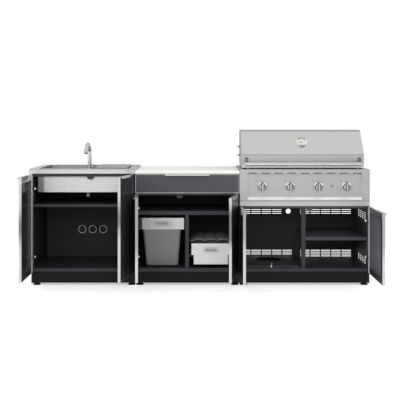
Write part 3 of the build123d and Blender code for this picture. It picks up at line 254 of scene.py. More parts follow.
def several(make, look, **keys):  # finishes by name, each from its own settings
    return tuple(make(name, look[key]) for name, key in keys.items())


def dress(finish, *names):
    for name in names:
        mesh = nodes[name].data
        mesh.materials.clear()
        mesh.materials.append(finish)


def solidsOf(name):  # faces of each solid in the node, the one with most faces first
    mesh = nodes[name].data
    link = list(range(len(mesh.vertices)))

    def root(index):
        while link[index] != index:
            index = link[index]
        return index

    spots = {}
    for vertex in mesh.vertices:
        spot = tuple(round(v, 5) for v in vertex.co)
        link[root(vertex.index)] = root(spots.setdefault(spot, vertex.index))
    for face in mesh.polygons:
        for corner in face.vertices[1:]:
            link[root(corner)] = root(face.vertices[0])
    groups = {}
    for face in mesh.polygons:
        groups.setdefault(root(face.vertices[0]), []).append(face.index)
    return sorted(groups.values(), key=lambda group: (-len(group), group[0]))


def splitDress(name, finishes, choose):  # one finish per face
    mesh = nodes[name].data
    mesh.materials.clear()
    for finish in finishes:
        mesh.materials.append(finish)
    for solid, group in enumerate(solidsOf(name)):
        for index in group:
            face = mesh.polygons[index]
            face.material_index = choose(face.center, face.normal, solid)


facing = 0.9  # a face looks along an axis when its normal reaches further than this


def frontFace(at, normal, solid):
    return int(normal.y < -facing)


def topFace(at, normal, solid):
    return int(normal.z > facing)


def endFace(at, normal, solid):
    return int(abs(normal.x) > facing)


def within(value, stretches):
    return any(low < value < high for low, high in stretches)


def newPiece(name, finish, body, build, smooth=False):  # a piece made here with bmesh
    shape = bmesh.new()
    build(shape)
    bmesh.ops.recalc_face_normals(shape, faces=shape.faces)
    for face in shape.faces:
        face.smooth = smooth
    mesh = bpy.data.meshes.new(name)
    shape.to_mesh(mesh)
    shape.free()
    piece = bpy.data.objects.new(name, mesh)
    bpy.context.scene.collection.objects.link(piece)
    mesh.materials.append(finish)
    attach(piece, body)


def bridge(shape, lower, upper):  # four-sided faces between two rings
    for step in range(len(lower)):
        nxt = (step + 1) % len(lower)
        shape.faces.new((lower[step], lower[nxt], upper[nxt], upper[step]))


def cap(shape, ring, tip):  # three-sided faces from a ring to one point
    for step in range(len(ring)):
        shape.faces.new((ring[step], ring[(step + 1) % len(ring)], tip))


def circle(steps):
    turns = [math.tau * step / steps for step in range(steps)]
    return [(math.cos(turn), math.sin(turn)) for turn in turns]


def turned(shape, matrix, outline, steps):  # rings of an outline (radius, height) round the matrix's own Z
    below = None
    for radius, height in outline:
        if radius == 0:
            cap(shape, below, shape.verts.new(matrix @ Vector((0, 0, height))))
            return
        spots = [Vector((radius * c, radius * s, height)) for c, s in circle(steps)]
        ring = [shape.verts.new(matrix @ spot) for spot in spots]
        if below:
            bridge(shape, below, ring)
        below = ring


def bar(shape, matrix, wide, long, low, high):  # a small flat bar with its top edges broken
    lean = min(wide, long) * 0.18
    below = None
    for level, inset in ((low, 0.0), ((low + high) / 2, 0.0), (high, lean)):
        x, y = wide / 2 - inset, long / 2 - inset
        corners = ((-x, -y), (x, -y), (x, y), (-x, y))
        ring = [shape.verts.new(matrix @ Vector((cx, cy, level))) for cx, cy in corners]
        if below:
            bridge(shape, below, ring)
        below = ring
    shape.faces.new(below)


def wire(shape, points, radius, steps):  # round wire through points, domed at both ends
    path = [Vector(point) for point in points]
    rings = []
    for index, spot in enumerate(path):
        way = (path[min(index + 1, len(path) - 1)] - path[max(index - 1, 0)]).normalized()
        side = way.cross(Vector((0, 1, 0))).normalized()
        rise = side.cross(way)
        rings.append([shape.verts.new(spot + (side * c + rise * s) * radius) for c, s in circle(steps)])
    for lower, upper in zip(rings, rings[1:]):
        bridge(shape, lower, upper)
    for ring, end, before in ((rings[0], path[0], path[1]), (rings[-1], path[-1], path[-2])):
        cap(shape, ring, shape.verts.new(end + (end - before).normalized() * radius * 0.8))


# Cabinets: slate powder coat, darker boxes, near-black plinth, with painted shade and light in some copies of
# the slate
shellPaint = {"tone": (0.050, 0.049, 0.058, 1), "edge": (0.11, 0.11, 0.12, 1), "rough": 0.46, "gloss": 0.16}
boxPaint = {"edge": (0.10, 0.10, 0.11, 1), "rough": 0.50, "gloss": 0.10}
sheetPaint = {"edge": (0.09, 0.09, 0.10, 1), "rough": 0.48, "gloss": 0.14}
cabinetLook = {
    "shell": shellPaint,
    # painted shade: the leftmost front edge and the bottom of the front edges darker
    "shellFront": dict(shellPaint, zones=(("X", -1.40, -1.308, 0.002, -0.55),
                                          ("Z", -0.10, 0.130, 0.002, -0.78))),
    # painted shade: the sink cabinet's inner walls and back darker than the same paint elsewhere
    "sinkWall": dict(boxPaint, tone=(0.027, 0.027, 0.030, 1), edge=(0.09, 0.09, 0.10, 1)),
    "sinkBack": dict(boxPaint, tone=(0.034, 0.034, 0.037, 1)),
    "inside": dict(boxPaint, tone=(0.043, 0.042, 0.047, 1)),
    "board": dict(sheetPaint, tone=(0.047, 0.046, 0.053, 1)),
    # painted shade: tops of floors and shelves darker than their fronts
    "boardTop": dict(sheetPaint, tone=(0.031, 0.030, 0.035, 1), gloss=0.12),
    # painted light: the grill cabinet's shelf edges and front rail lighter than the same paint elsewhere
    "grillEdge": dict(sheetPaint, tone=(0.068, 0.067, 0.076, 1), edge=(0.12, 0.12, 0.13, 1)),
    "grillRail": dict(shellPaint, tone=(0.086, 0.085, 0.095, 1), edge=(0.15, 0.15, 0.16, 1)),
    "plinth": {"tone": (0.0092, 0.0092, 0.0095, 1), "edge": grey(0.03), "rough": 0.55, "gloss": 0.12},
    "foot": {"tone": grey(0.012), "rough": 0.55, "gloss": 0.3},
    # painted highlight: the knock-out groove walls near white
    "knockOut": {"tone": (0.86, 0.86, 0.88, 1), "edge": grey(0.9), "rough": 0.5, "gloss": 0.2},
    "knockOutY": (0.5332, 0.5352), "knockOutZ": 0.365, "knockOutReach": 0.045,
    "sinkMiddle": -0.9144, "sinkEnd": -0.509, "grillStart": 0.305,
}


def panelPart(at, normal, solid):  # front edges, then the sink's inner walls, which carry painted shade
    if frontFace(at, normal, solid):
        return 1
    toInside = normal.x * (cabinetLook["sinkMiddle"] - at.x) > 0
    return 2 if toInside and abs(normal.x) > facing and at.x < cabinetLook["sinkEnd"] else 0


def sinkBackPart(at, normal, solid):  # the walls of the three knock-outs, painted pale as a highlight
    low, high = cabinetLook["knockOutY"]
    return int(low < at.y < high and abs(at.z - cabinetLook["knockOutZ"]) < cabinetLook["knockOutReach"])


def grillFront(at, normal, solid):
    return int(normal.y < -facing and at.x > cabinetLook["grillStart"])


def shelfPart(at, normal, solid):  # tops with painted shade, then the grill cabinet's front edges with painted light
    return 1 if topFace(at, normal, solid) else 2 * grillFront(at, normal, solid)


insidePaint = powderCoat("slateInside", cabinetLook["inside"])
boardPaint = powderCoat("slateBoard", cabinetLook["board"])
boardTop = powderCoat("slateBoardTop", cabinetLook["boardTop"])
grillEdge = powderCoat("slateGrillEdge", cabinetLook["grillEdge"])
grillRail = powderCoat("slateGrillRail", cabinetLook["grillRail"])
backPaints = several(powderCoat, cabinetLook, slateSinkBack="sinkBack", knockOutRing="knockOut")
panelPaints = several(powderCoat, cabinetLook, slateShell="shell", slateShellFront="shellFront",
                      slateSinkWall="sinkWall")
for name in ("sink_side_panels", "centre_side_panels", "grill_side_panels"):
    splitDress(name, panelPaints, panelPart)
dress(insidePaint, "centre_back_panel", "grill_back_panel")
splitDress("sink_back_panel", backPaints, sinkBackPart)
splitDress("floor_pans", (boardPaint, boardTop), topFace)
splitDress("shelves", (boardPaint, boardTop, grillEdge), shelfPart)
splitDress("carcass_rails", (boardPaint, grillRail), grillFront)
dress(boardPaint, "dividers", "pullout_runners")
dress(powderCoat("plinthBlack", cabinetLook["plinth"]), "plinth_boards")
dress(mouldedPlastic("footPlastic", cabinetLook["foot"]), "levelling_feet")
print("kitchen: cabinets dressed")

# Hinges: slate plates and zinc pins, with a white domed cap on each plate
hingeLook = {
    "zinc": {"tone": (0.60, 0.60, 0.59), "run": "z", "long": 12.0, "fine": 300.0, "hair": 0.18, "drift": 0.08,
             "rough": 0.38, "mottle": 0.2},
    "cap": {"tone": (0.95, 0.95, 0.95), "rough": 0.30, "gloss": 0.5},
    "dome": ((0.0094, 0.0), (0.0091, 0.0034), (0.0072, 0.0070), (0.0038, 0.0091), (0, 0.0097)),
    "domeSteps": 20, "capY": -0.009, "plates": 12, "pinDepth": 0.02,
    "cabinets": ((-0.508, -0.9144), (0.3048, -0.1016), (math.inf, 0.8128)),  # right end and middle of each
}


def hingePart(at, normal, solid):  # the plates have most faces, so the pins come after them
    return int(solid >= hingeLook["plates"])


def hingeCaps(shape):
    mesh = nodes["door_hinges"].data
    for group in solidsOf("door_hinges"):
        corners = [mesh.vertices[v].co for index in group for v in mesh.polygons[index].vertices]
        low = [min(c[k] for c in corners) for k in range(3)]
        high = [max(c[k] for c in corners) for k in range(3)]
        if high[1] - low[1] < hingeLook["pinDepth"]:
            continue  # a pin
        middle = next(middle for end, middle in hingeLook["cabinets"] if low[0] < end)
        toRight = (low[0] + high[0]) / 2 < middle  # the plate's inner face looks into its own cabinet
        seat = Vector((high[0] if toRight else low[0], hingeLook["capY"], (low[2] + high[2]) / 2))
        turn = Matrix.Rotation(math.radians(90 if toRight else -90), 4, "Y")
        turned(shape, Matrix.Translation(seat) @ turn, hingeLook["dome"], hingeLook["domeSteps"])


zinc = brushedSteel("zincPlate", hingeLook["zinc"])
splitDress("door_hinges", (boardPaint, zinc), hingePart)
dress(zinc, "gas_manifold")
capWhite = mouldedPlastic("capWhite", hingeLook["cap"])
newPiece("hingeCaps", capWhite, "cabinets", hingeCaps, True)
print("kitchen: hinges capped")

# Doors and drawer front: drawn aluminium edge, slate glass, dark coated inner frame, with painted shade and
# light on edges, glass and inner rails
aluminium = {"long": 4.0, "fine": 520.0, "hair": 0.14, "drift": 0.08, "rough": 0.34}
slateGlass = {"tone": (0.055, 0.053, 0.060), "rough": 0.24, "gloss": 0.18}
doorLook = {
    "edge": dict(aluminium, run="z", tone=(0.53, 0.53, 0.525), mottle=0.08),
    # painted shade: a darker stretch up each door's aluminium edge
    "edgeShadeZones": {
        "sink_left_door": (("Z", 0.41, 0.60, 0.08, -0.62),),
        "sink_right_door": (("Z", 0.48, 0.66, 0.08, -0.62),),
        "centre_left_door": (("Z", 0.30, 1.0, 0.08, -0.38),),
        "centre_right_door": (("Z", 0.38, 0.64, 0.05, -0.68),),
        "grill_left_door": (("Z", 0.40, 1.0, 0.10, -0.40),),
        "grill_right_door": (("Z", 0.32, 1.0, 0.08, -0.28),),
    },
    "lip": {"tone": (0.055, 0.054, 0.062, 1), "edge": (0.16, 0.16, 0.17, 1), "rough": 0.42, "gloss": 0.2},
    "rebate": {"tone": (0.11, 0.11, 0.12, 1), "edge": (0.30, 0.30, 0.31, 1), "rough": 0.40, "gloss": 0.3},
    "pull": dict(aluminium, run="z", tone=(0.33, 0.33, 0.335), hair=0.16, rough=0.36),
    "drawerLip": dict(aluminium, run="x", tone=(0.46, 0.46, 0.46)),
    "drawerPull": dict(aluminium, run="x", tone=(0.58, 0.58, 0.58)),
    # painted shade on the upper glass of two doors
    "dullShadedGlass": dict(slateGlass, gloss=0.12, zones=(("Z", 0.715, 1.0, 0.012, -0.42),)),
    "shadeGlass": dict(slateGlass, gloss=0.12, zones=(("Z", 0.585, 1.0, 0.04, -0.55),)),
    "drawerGlass": {"tone": (0.082, 0.076, 0.090), "rough": 0.22, "gloss": 0.16},
    "pane": {"tone": (0.050, 0.048, 0.056), "rough": 0.26, "gloss": 0.22},
    # painted reflection on the top of the sink's left door pane
    "paintedReflectionPane": {"tone": (0.036, 0.035, 0.040), "rough": 0.10, "gloss": 0.8,
                   "zones": (("Z", 0.745, 1.0, 0.008, 0.9),)},
    # painted light: the grill's right door pane lighter than the others
    "litPane": {"tone": (0.150, 0.145, 0.165), "rough": 0.34, "gloss": 0.16},
    "inner": {"dark": (0.030, 0.030, 0.033, 1), "stile": grey(0.95), "rough": 0.36, "gloss": 0.30},
    # painted light: top rail tones per door, faded away from the hinge
    "topRail": {"sink_left_door": 0.70, "grill_right_door": 0.11}, "plainRail": 0.05,
    "stileEnd": (0.042, 0.046), "railLow": (0.047, 0.044), "railFade": (0.05, 0.36, 0.55),
    "levels": 2000, "square": 0.95, "endDepth": 0.012,  # levels per metre
}


def innerFrame(name, axis, reach, top, rail):  # dark coat, bright hinge stile, painted light on the top rail, strongest on two doors, fading from the hinge
    look = doorLook["inner"]
    f = Finish(name)
    run = (f.along("X") - axis.x) * reach.x + (f.along("Y") - axis.y) * reach.y
    stileStart, stileEnd = doorLook["stileEnd"]
    railStart, railEnd = doorLook["railLow"]
    fadeStart, fadeEnd, loss = doorLook["railFade"]
    onRail = f.along("Z").above(top - railStart, top - railEnd) * (1 - run.above(fadeStart, fadeEnd) * loss)
    hair = f.noise((300.0, 300.0, 5.0), detail=3.0)
    peel = f.noise(520.0)
    tone = f.mix(onRail, look["dark"], grey(rail))
    tone = f.mix(1 - run.above(stileStart, stileEnd), tone, look["stile"])
    tone = f.scale(tone, 1 + hair.swing(0.22) + peel.swing(0.12))
    rough = look["rough"] + hair.swing(0.14)
    normal = f.bump(hair * 0.5 + peel * 0.5, strength=0.10, depth=0.0003, corner=0.0016)
    return f.coat(Base_Color=tone, Roughness=rough, Specular_IOR_Level=look["gloss"], Normal=normal)


def dressLeaf(door, outward, reach, lip, pull, glass, pane, inner):
    edge = brushedSteel(door + "Edge", dict(doorLook["edge"], zones=doorLook["edgeShadeZones"].get(door, ())))
    mesh = nodes[door + "_frame"].data
    levels, square = doorLook["levels"], doorLook["square"]
    backs = {}
    for face in mesh.polygons:
        if face.normal.dot(outward) < -square:
            level = round(face.center.dot(outward) * levels)
            backs[level] = backs.get(level, 0) + face.area
    back = max(backs, key=backs.get)  # the widest plane that faces in is the frame's own back
    freeEnd = max(vertex.co.dot(reach) for vertex in mesh.vertices) - doorLook["endDepth"]

    def framePart(at, normal, solid):
        if solid == 1:
            return 4  # the pull
        if normal.dot(outward) < -square and abs(at.dot(outward) * levels - back) < 1:
            return 1
        if normal.dot(outward) > square:
            return 2
        return 0 if abs(normal.dot(reach)) < square or at.dot(reach) > freeEnd else 3

    def glassPart(at, normal, solid):
        return int(normal.dot(outward) < -facing)

    splitDress(door + "_frame", (edge, inner, lip, doorRebate, pull), framePart)
    splitDress(door + "_glass", (glass, pane), glassPart)


doorRebate = powderCoat("doorRebate", doorLook["rebate"])
doorLip = powderCoat("doorLip", doorLook["lip"])
doorPull = brushedSteel("pullAluminium", doorLook["pull"])
doorGlass = paintedGlass("slateGlass", slateGlass)
doorPane = paintedGlass("slatePane", doorLook["pane"])
glasses = {"sink_right_door": paintedGlass("slateGlassDull", doorLook["dullShadedGlass"]),
           "centre_right_door": paintedGlass("slateGlassShade", doorLook["shadeGlass"])}
panes = {"sink_left_door": paintedGlass("slatePaneBright", doorLook["paintedReflectionPane"]),
         "grill_right_door": paintedGlass("slatePanePale", doorLook["litPane"])}
toFront = Vector((0, -1, 0))
for joint in frame["joints"]:
    if not joint["name"].endswith("_door_hinge"):
        continue
    door = joint["child"]
    swing = Matrix.Rotation(math.radians(-joint["range_deg"][0]), 3, Vector(joint["axis"]))
    reach = swing @ Vector((-joint["axis"][2], 0, 0))
    rail = doorLook["topRail"].get(door, doorLook["plainRail"])
    inner = innerFrame(door + "Inner", Vector(joint["pos_m"]), reach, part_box(door + "_frame")[1].z, rail)
    glass, pane = glasses.get(door, doorGlass), panes.get(door, doorPane)
    dressLeaf(door, swing @ toFront, reach, doorLip, doorPull, glass, pane, inner)
drawerLip = brushedSteel("drawerLip", doorLook["drawerLip"])
drawerPull = brushedSteel("drawerPull", doorLook["drawerPull"])
drawerGlass = paintedGlass("drawerSlateGlass", doorLook["drawerGlass"])
dressLeaf("drawer", toFront, Vector((1, 0, 0)), drawerLip, drawerPull, drawerGlass, doorPane, insidePaint)
print("kitchen: doors dressed")

# Sink: drawn steel top and tub, satin deck and cover, plated tap, with painted shade and light on them
sinkSteel = {"run": "x", "long": 3.0, "fine": 600.0, "hair": 0.12, "drift": 0.06, "rough": 0.34}
coverSteel = dict(sinkSteel, run="y", hair=0.14, drift=0.08, rough=0.38)
sinkLook = {
    # painted shade: the top darker at its right end and upper edge, the rim top darker, most at its right end
    "top": dict(sinkSteel, tone=(0.50, 0.50, 0.495),
                zones=(("X", -0.570, -0.40, 0.03, -0.18), ("Z", 0.904, 0.95, 0.0015, -0.27))),
    "rimTop": dict(sinkSteel, tone=(0.50, 0.50, 0.495),
                   zones=(("Y", -0.10, 0.49, 0.004, -0.28), ("X", -0.5610, -0.50, 0.002, -0.40))),
    # painted light at the deck's right end
    "deck": dict(sinkSteel, tone=(0.27, 0.27, 0.265), hair=0.14, drift=0.08, rough=0.46,
                 zones=(("X", -0.590, -0.500, 0.004, 1.2),)),
    # painted reflection: a dark band at the tub's left end
    "tub": dict(sinkSteel, tone=(0.49, 0.49, 0.485), run="z", fine=400.0, drift=0.10, rough=0.40,
                zones=(("X", -1.40, -1.228, 0.010, -0.60),)),
    # painted shade on the cover's top, painted highlight on its ends
    "cover": dict(coverSteel, tone=(0.145, 0.145, 0.14)),
    "coverEnd": dict(coverSteel, tone=(0.62, 0.62, 0.61)),
    "tap": {"tone": (0.52, 0.52, 0.525), "rough": 0.30, "under": 0.85},
    "tapShade": (0.002, 0.060, 0.004, -0.25),  # painted shade on the tap's right side; from the tap's middle: start, end, softness, gain
    "drain": {"tone": grey(0.85), "edge": grey(0.9), "rough": 0.34, "gloss": 0.4},
    "recess": ((-1.2685, -0.0345), (-0.5605, 0.5065), 0.9132),
}


def sinkTopPart(at, normal, solid):  # the recessed deck, then the top of the rim
    (x0, y0), (x1, y1), top = sinkLook["recess"]
    if x0 < at.x < x1 and y0 < at.y < y1 and at.z < top:
        return 1
    return 2 * topFace(at, normal, solid)


sinkSteels = several(brushedSteel, sinkLook, sinkTop="top", sinkDeck="deck", sinkRimTop="rimTop")
splitDress("sink_top", sinkSteels, sinkTopPart)
dress(brushedSteel("tubSteel", sinkLook["tub"]), "sink_basin")
coverSteels = several(brushedSteel, sinkLook, coverSteel="cover", coverEndSteel="coverEnd")
splitDress("cover_board", coverSteels, endFace)
tapLow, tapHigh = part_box("tap_body")
tapMid = (tapLow.x + tapHigh.x) / 2
shadeStart, shadeEnd, shadeSoft, shadeGain = sinkLook["tapShade"]
tapZones = (("X", tapMid + shadeStart, tapMid + shadeEnd, shadeSoft, shadeGain),)
dress(polished("tapChrome", dict(sinkLook["tap"], zones=tapZones)), "tap_body", "tap_spout", "tap_lever")
dress(powderCoat("drainPale", sinkLook["drain"]), "drain_tail")
print("kitchen: sink dressed")

# Counter: pale solid surface slab, drawer box, bins, rack
counterLook = {
    "slab": {"tone": (0.85, 0.845, 0.81), "rough": 0.42, "gloss": 0.30},
    "box": {"tone": (0.46, 0.46, 0.46), "run": "y", "long": 4.0, "fine": 420.0, "hair": 0.12, "drift": 0.10,
            "rough": 0.42},
    # painted shade on the collar's left, painted light towards its right
    "collar": {"tone": (0.58, 0.58, 0.585), "rough": 0.34, "gloss": 0.30,
               "zones": (("X", -0.60, -0.40, 0.03, -0.18), ("X", -0.20, 0.0, 0.03, 0.14))},
    "collarRing": {"tone": grey(0.28), "rough": 0.36, "gloss": 0.30},
    # painted light on the bucket wall behind the collar's grip slot
    "bucket": {"tone": (0.25, 0.25, 0.255), "rough": 0.44, "gloss": 0.24,
               "patch": ((-0.350, -0.242), (0.466, 0.498), 0.003, 0.5)},
    "bin": {"tone": (0.86, 0.86, 0.86), "rough": 0.40, "gloss": 0.30},
    "binRing": {"tone": grey(0.44), "rough": 0.40, "gloss": 0.30},
    "ringFront": -0.0195,
    "grip": {"tone": grey(0.48), "rough": 0.44, "gloss": 0.2},
    "gripSeat": (0.084, -0.0105), "gripSize": (0.104, 0.030), "gripRows": (-0.5, -0.42, 0.42, 0.5),
    "ribs": 12, "ribSteps": 4, "ribDepth": 0.0008,
    # painted highlights: lighter rows across the rack, fading towards the back, and its front faces lighter
    "rack": {"tone": (0.17, 0.168, 0.18, 1), "edge": (0.30, 0.30, 0.31, 1), "rough": 0.40, "gloss": 0.3,
             "corner": 0.0012, "wear": 0.9,
             "zones": (("Y", 0.075, 0.097, 0.004, 1.9), ("Y", 0.165, 0.187, 0.004, 1.7),
                       ("Y", 0.255, 0.277, 0.004, 1.5), ("Y", 0.345, 0.367, 0.004, 1.3))},
    "rackEdge": {"tone": (0.40, 0.40, 0.41, 1), "edge": grey(0.5), "rough": 0.40, "gloss": 0.3},
}


def solidSurface(name, look):  # honed acrylic stone: tiny pale and grey chips, faint clouding
    f = Finish(name)
    corner = 0.003
    chip = f.speckle(420.0).above(0.10, 0.22)
    flake = f.speckle(950.0).above(0.16, 0.30)
    cloud = f.noise(14.0, detail=4.0, gain=0.6)
    shade = 0.955 + chip * 0.035 + flake * 0.02 + cloud.swing(0.035) + f.wear(corner) * 0.03
    tone = f.scale(look["tone"], shade)
    rough = look["rough"] + cloud.swing(0.12)
    normal = f.bump(f.noise(1200.0), strength=0.04, depth=0.0002, corner=corner)
    return f.coat(Base_Color=tone, Roughness=rough, Specular_IOR_Level=look["gloss"], Normal=normal)


def ringPart(at, normal, solid):  # the raised ring round a grip slot
    return int(at.y < counterLook["ringFront"])


def slotZ(name):  # middle height of the ring
    front = [face.center.z for face in nodes[name].data.polygons if face.center.y < counterLook["ringFront"]]
    return (min(front) + max(front)) / 2


def binGrip(shape):  # ribbed liner behind the storage bin's grip slot
    wide, tall = counterLook["gripSize"]
    middle, y = counterLook["gripSeat"]
    z = slotZ("storage_bin")
    steps = counterLook["ribs"] * counterLook["ribSteps"]
    columns = []
    for step in range(steps + 1):
        out = counterLook["ribDepth"] * math.cos(math.tau * step / counterLook["ribSteps"])
        x = middle + wide * (step / steps - 0.5)
        columns.append([shape.verts.new((x, y - out, z + tall * row)) for row in counterLook["gripRows"]])
    for left, right in zip(columns, columns[1:]):
        for k in range(len(left) - 1):
            shape.faces.new((left[k], right[k], right[k + 1], left[k + 1]))


dress(solidSurface("paleSlab", counterLook["slab"]), "worktop_slab")
dress(brushedSteel("drawerSteel", counterLook["box"]), "drawer_box")
collarPlastics = several(mouldedPlastic, counterLook, collarPlastic="collar", collarRing="collarRing")
splitDress("bin_collar", collarPlastics, ringPart)
dress(mouldedPlastic("bucketPlastic", counterLook["bucket"]), "bin_bucket")
binPlastics = several(mouldedPlastic, counterLook, storagePlastic="bin", storageRing="binRing")
splitDress("storage_bin", binPlastics, ringPart)
gripPlastic = mouldedPlastic("gripPlastic", counterLook["grip"])
newPiece("storageGrip", gripPlastic, "storage_bin", binGrip)
rackPaints = several(powderCoat, counterLook, rackSlate="rack", rackEdge="rackEdge")
splitDress("bottle_rack", rackPaints, frontFace)
print("kitchen: counter dressed")

# Grill: drawn steel body in lighter and darker copies as painted light and shade, sooted firebox, iron
# grates, dark tray for the bottle
sheetSteel = {"run": "x", "long": 2.2, "fine": 620.0, "hair": 0.14, "drift": 0.06, "rough": 0.36}
tubeSteel = {"run": "x", "long": 3.0, "fine": 700.0, "hair": 0.10, "drift": 0.06, "rough": 0.30}
burntSteel = {"hair": 0.25, "drift": 0.3, "rough": 0.5}
grillLook = {
    # painted shade along the hood's crown
    "hood": dict(sheetSteel, tone=(0.505, 0.505, 0.495), zones=(("Z", 1.199, 1.4, 0.003, -0.34),)),
    # painted shade: the front band and the ends darker copies of the hood steel; painted shade above the
    # handle, painted light below it
    "hoodBand": dict(sheetSteel, tone=(0.355, 0.355, 0.35), rough=0.38,
                     zones=(("Z", 1.012, 1.05, 0.002, -0.16), ("Z", 0.88, 0.938, 0.003, 0.72))),
    "hoodEnd": dict(sheetSteel, tone=(0.17, 0.17, 0.167), run="z"),
    "fascia": dict(sheetSteel, tone=(0.365, 0.365, 0.36), hair=0.12, drift=0.05, rough=0.40),
    # painted light: the sill a bright copy of the fascia steel
    "sill": dict(sheetSteel, tone=(0.82, 0.82, 0.81), hair=0.10, drift=0.05, rough=0.55),
    "drip": dict(sheetSteel, tone=(0.42, 0.42, 0.41), rough=0.40),
    # painted highlight and shade: bright and dark copies of the handle steel
    "handle": dict(tubeSteel, tone=(0.49, 0.49, 0.49)),
    "handleShine": dict(tubeSteel, tone=(0.92, 0.92, 0.91), hair=0.08, drift=0.05, rough=0.26),
    "handleShade": dict(tubeSteel, tone=(0.27, 0.27, 0.27), rough=0.34),
    "post": dict(tubeSteel, tone=(0.17, 0.17, 0.17), run="y", hair=0.12, rough=0.34),
    "firebox": dict(burntSteel, tone=(0.36, 0.34, 0.31), run="x", long=3.0, fine=300.0,
                    mottle=0.5, cloud=9.0),
    "tent": dict(burntSteel, tone=(0.30, 0.27, 0.24), run="y", long=4.0, fine=260.0,
                 mottle=0.6, cloud=16.0),
    "iron": {"black": (0.030, 0.029, 0.028, 1), "brown": (0.055, 0.043, 0.034, 1),
             "worn": (0.16, 0.155, 0.15, 1), "rough": 0.52, "metal": 0.35},
    "peg": {"tone": grey(0.05), "rough": 0.40, "gloss": 0.4},
    "button": {"tone": (0.27, 0.27, 0.27), "rough": 0.30},
    "tray": {"tone": (0.031, 0.031, 0.035, 1), "edge": grey(0.10), "rough": 0.40, "gloss": 0.2},
    "middle": 0.8128, "hoodHalf": 0.4842,
    "postOut": 0.447, "postHalf": 0.0115, "postY": 0.0135, "postZ": 0.9636,
    "shadeLean": ((58, 100), (0, 24)), "shineLean": ((-58, 0),),  # painted shade and highlight by facet; degrees: 0 faces the cook, 90 faces up
    "sillLean": 0.5, "panelFront": -0.047, "panelEnd": 1.2,
}


def castIron(name, look):  # sand-cast skin, seasoned: coarse grain, soot, browned low spots
    f = Finish(name)
    corner = 0.0018
    sand = f.noise(380.0, detail=4.0, gain=0.65)
    soot = f.noise(22.0, detail=4.0, gain=0.6)
    tone = f.mix(soot.above(0.48, 0.66), look["black"], look["brown"])
    tone = f.mix(f.wear(corner) * 0.3, tone, look["worn"])
    tone = f.scale(tone, 0.75 + sand * 0.5)
    rough = look["rough"] + soot.swing(0.3)
    normal = f.bump(sand, strength=0.45, depth=0.0012, corner=corner)
    return f.coat(Base_Color=tone, Roughness=rough, Metallic=look["metal"], Normal=normal)


def hoodPart(at, normal, solid):
    if solid > 0:
        return 3  # a peg
    return 2 if endFace(at, normal, solid) else frontFace(at, normal, solid)  # the upright band is the front; band and ends carry painted shade


def handlePart(at, normal, solid):
    atPost = abs(abs(at.x - grillLook["middle"]) - grillLook["postOut"]) < grillLook["postHalf"]
    if atPost and (at.y > grillLook["postY"] or at.z > grillLook["postZ"]):
        return 2
    lean = math.degrees(math.atan2(normal.z, -normal.y))
    return 3 if within(lean, grillLook["shadeLean"]) else int(within(lean, grillLook["shineLean"]))


def pivotPart(at, normal, solid):  # brackets inside the hood, then bolt heads outside it
    return int(abs(at.x - grillLook["middle"]) > grillLook["hoodHalf"])


def fasciaPart(at, normal, solid):  # the sloped sill and the edge at the panel's right end, both painted light
    onSill = normal.z > grillLook["sillLean"] and normal.y < -grillLook["sillLean"]
    onEnd = normal.x < -facing and at.y < grillLook["panelFront"] and at.x > grillLook["panelEnd"]
    return int(onSill or onEnd)


def trayPart(at, normal, solid):  # the tray, then its clamp
    return int(solid > 0)


pegBlack = mouldedPlastic("pegBlack", grillLook["peg"])
hoodSteels = several(brushedSteel, grillLook, hoodSteel="hood", hoodBandSteel="hoodBand",
                     hoodEndSteel="hoodEnd")
splitDress("hood", hoodSteels + (pegBlack,), hoodPart)
handleSteels = several(brushedSteel, grillLook, handleSteel="handle", handleShine="handleShine",
                       postSteel="post", handleShade="handleShade")
splitDress("hood_handle", handleSteels, handlePart)
splitDress("hood_pivots", (zinc, pegBlack), pivotPart)
fasciaSteels = several(brushedSteel, grillLook, fasciaSteel="fascia", sillSteel="sill")
splitDress("control_fascia", fasciaSteels, fasciaPart)
dress(brushedSteel("dripSteel", grillLook["drip"]), "drip_tray")
dress(brushedSteel("fireboxSteel", grillLook["firebox"]), "firebox", "burners")
dress(brushedSteel("tentSteel", grillLook["tent"]), "heat_tents")
dress(castIron("grateIron", grillLook["iron"]), "cooking_grates")
dress(polished("buttonSatin", grillLook["button"]), "spark_button")
splitDress("gas_bottle_tray", (powderCoat("bottleTraySlate", grillLook["tray"]), zinc), trayPart)
print("kitchen: grill dressed")

# Clamp hook: the bent end of the bottle clamp, up from its bar
hookLook = {
    "points": ((0.557, -0.025, 0.150), (0.557, -0.025, 0.163), (0.5572, -0.0245, 0.168),
               (0.5585, -0.0235, 0.171), (0.561, -0.0225, 0.1712), (0.5628, -0.022, 0.169)),
    "radius": 0.0017, "steps": 12,
}


def clampHook(shape):
    wire(shape, hookLook["points"], hookLook["radius"], hookLook["steps"])


newPiece("clampHook", zinc, "gas_tray", clampHook, True)
print("kitchen: clamp hooked")

# Knobs: satin discs with a raised grip, painted shade beside the grip and on the sides, painted highlights on
# the bezels
knobLook = {
    "disc": {"tone": (0.50, 0.50, 0.495), "rough": 0.28, "corner": 0.0015, "cornerGlow": 0.3},
    # painted shade: the knob sides a dark copy of the disc metal
    "side": {"tone": (0.12, 0.12, 0.12), "rough": 0.30, "corner": 0.0015, "cornerGlow": 0.3},
    "grip": {"tone": (0.44, 0.44, 0.435), "rough": 0.30, "corner": 0.0015, "cornerGlow": 0.3},
    "rim": {"tone": (0.46, 0.46, 0.455), "rough": 0.24},
    "shine": {"tone": (0.97, 0.97, 0.97), "rough": 0.20},
    "bands": ((-0.012, -0.008, 0.0010, -0.70), (0.008, 0.030, 0.0015, -0.62)),  # painted shade beside the grip, from each knob's middle
    "x": (0.4838, 0.7028, 0.9228, 1.1418), "z": 0.771, "gripFront": -0.080,
    "shineTurns": ((24, 66), (112, 156)),  # painted highlights, degrees round the bezel
}


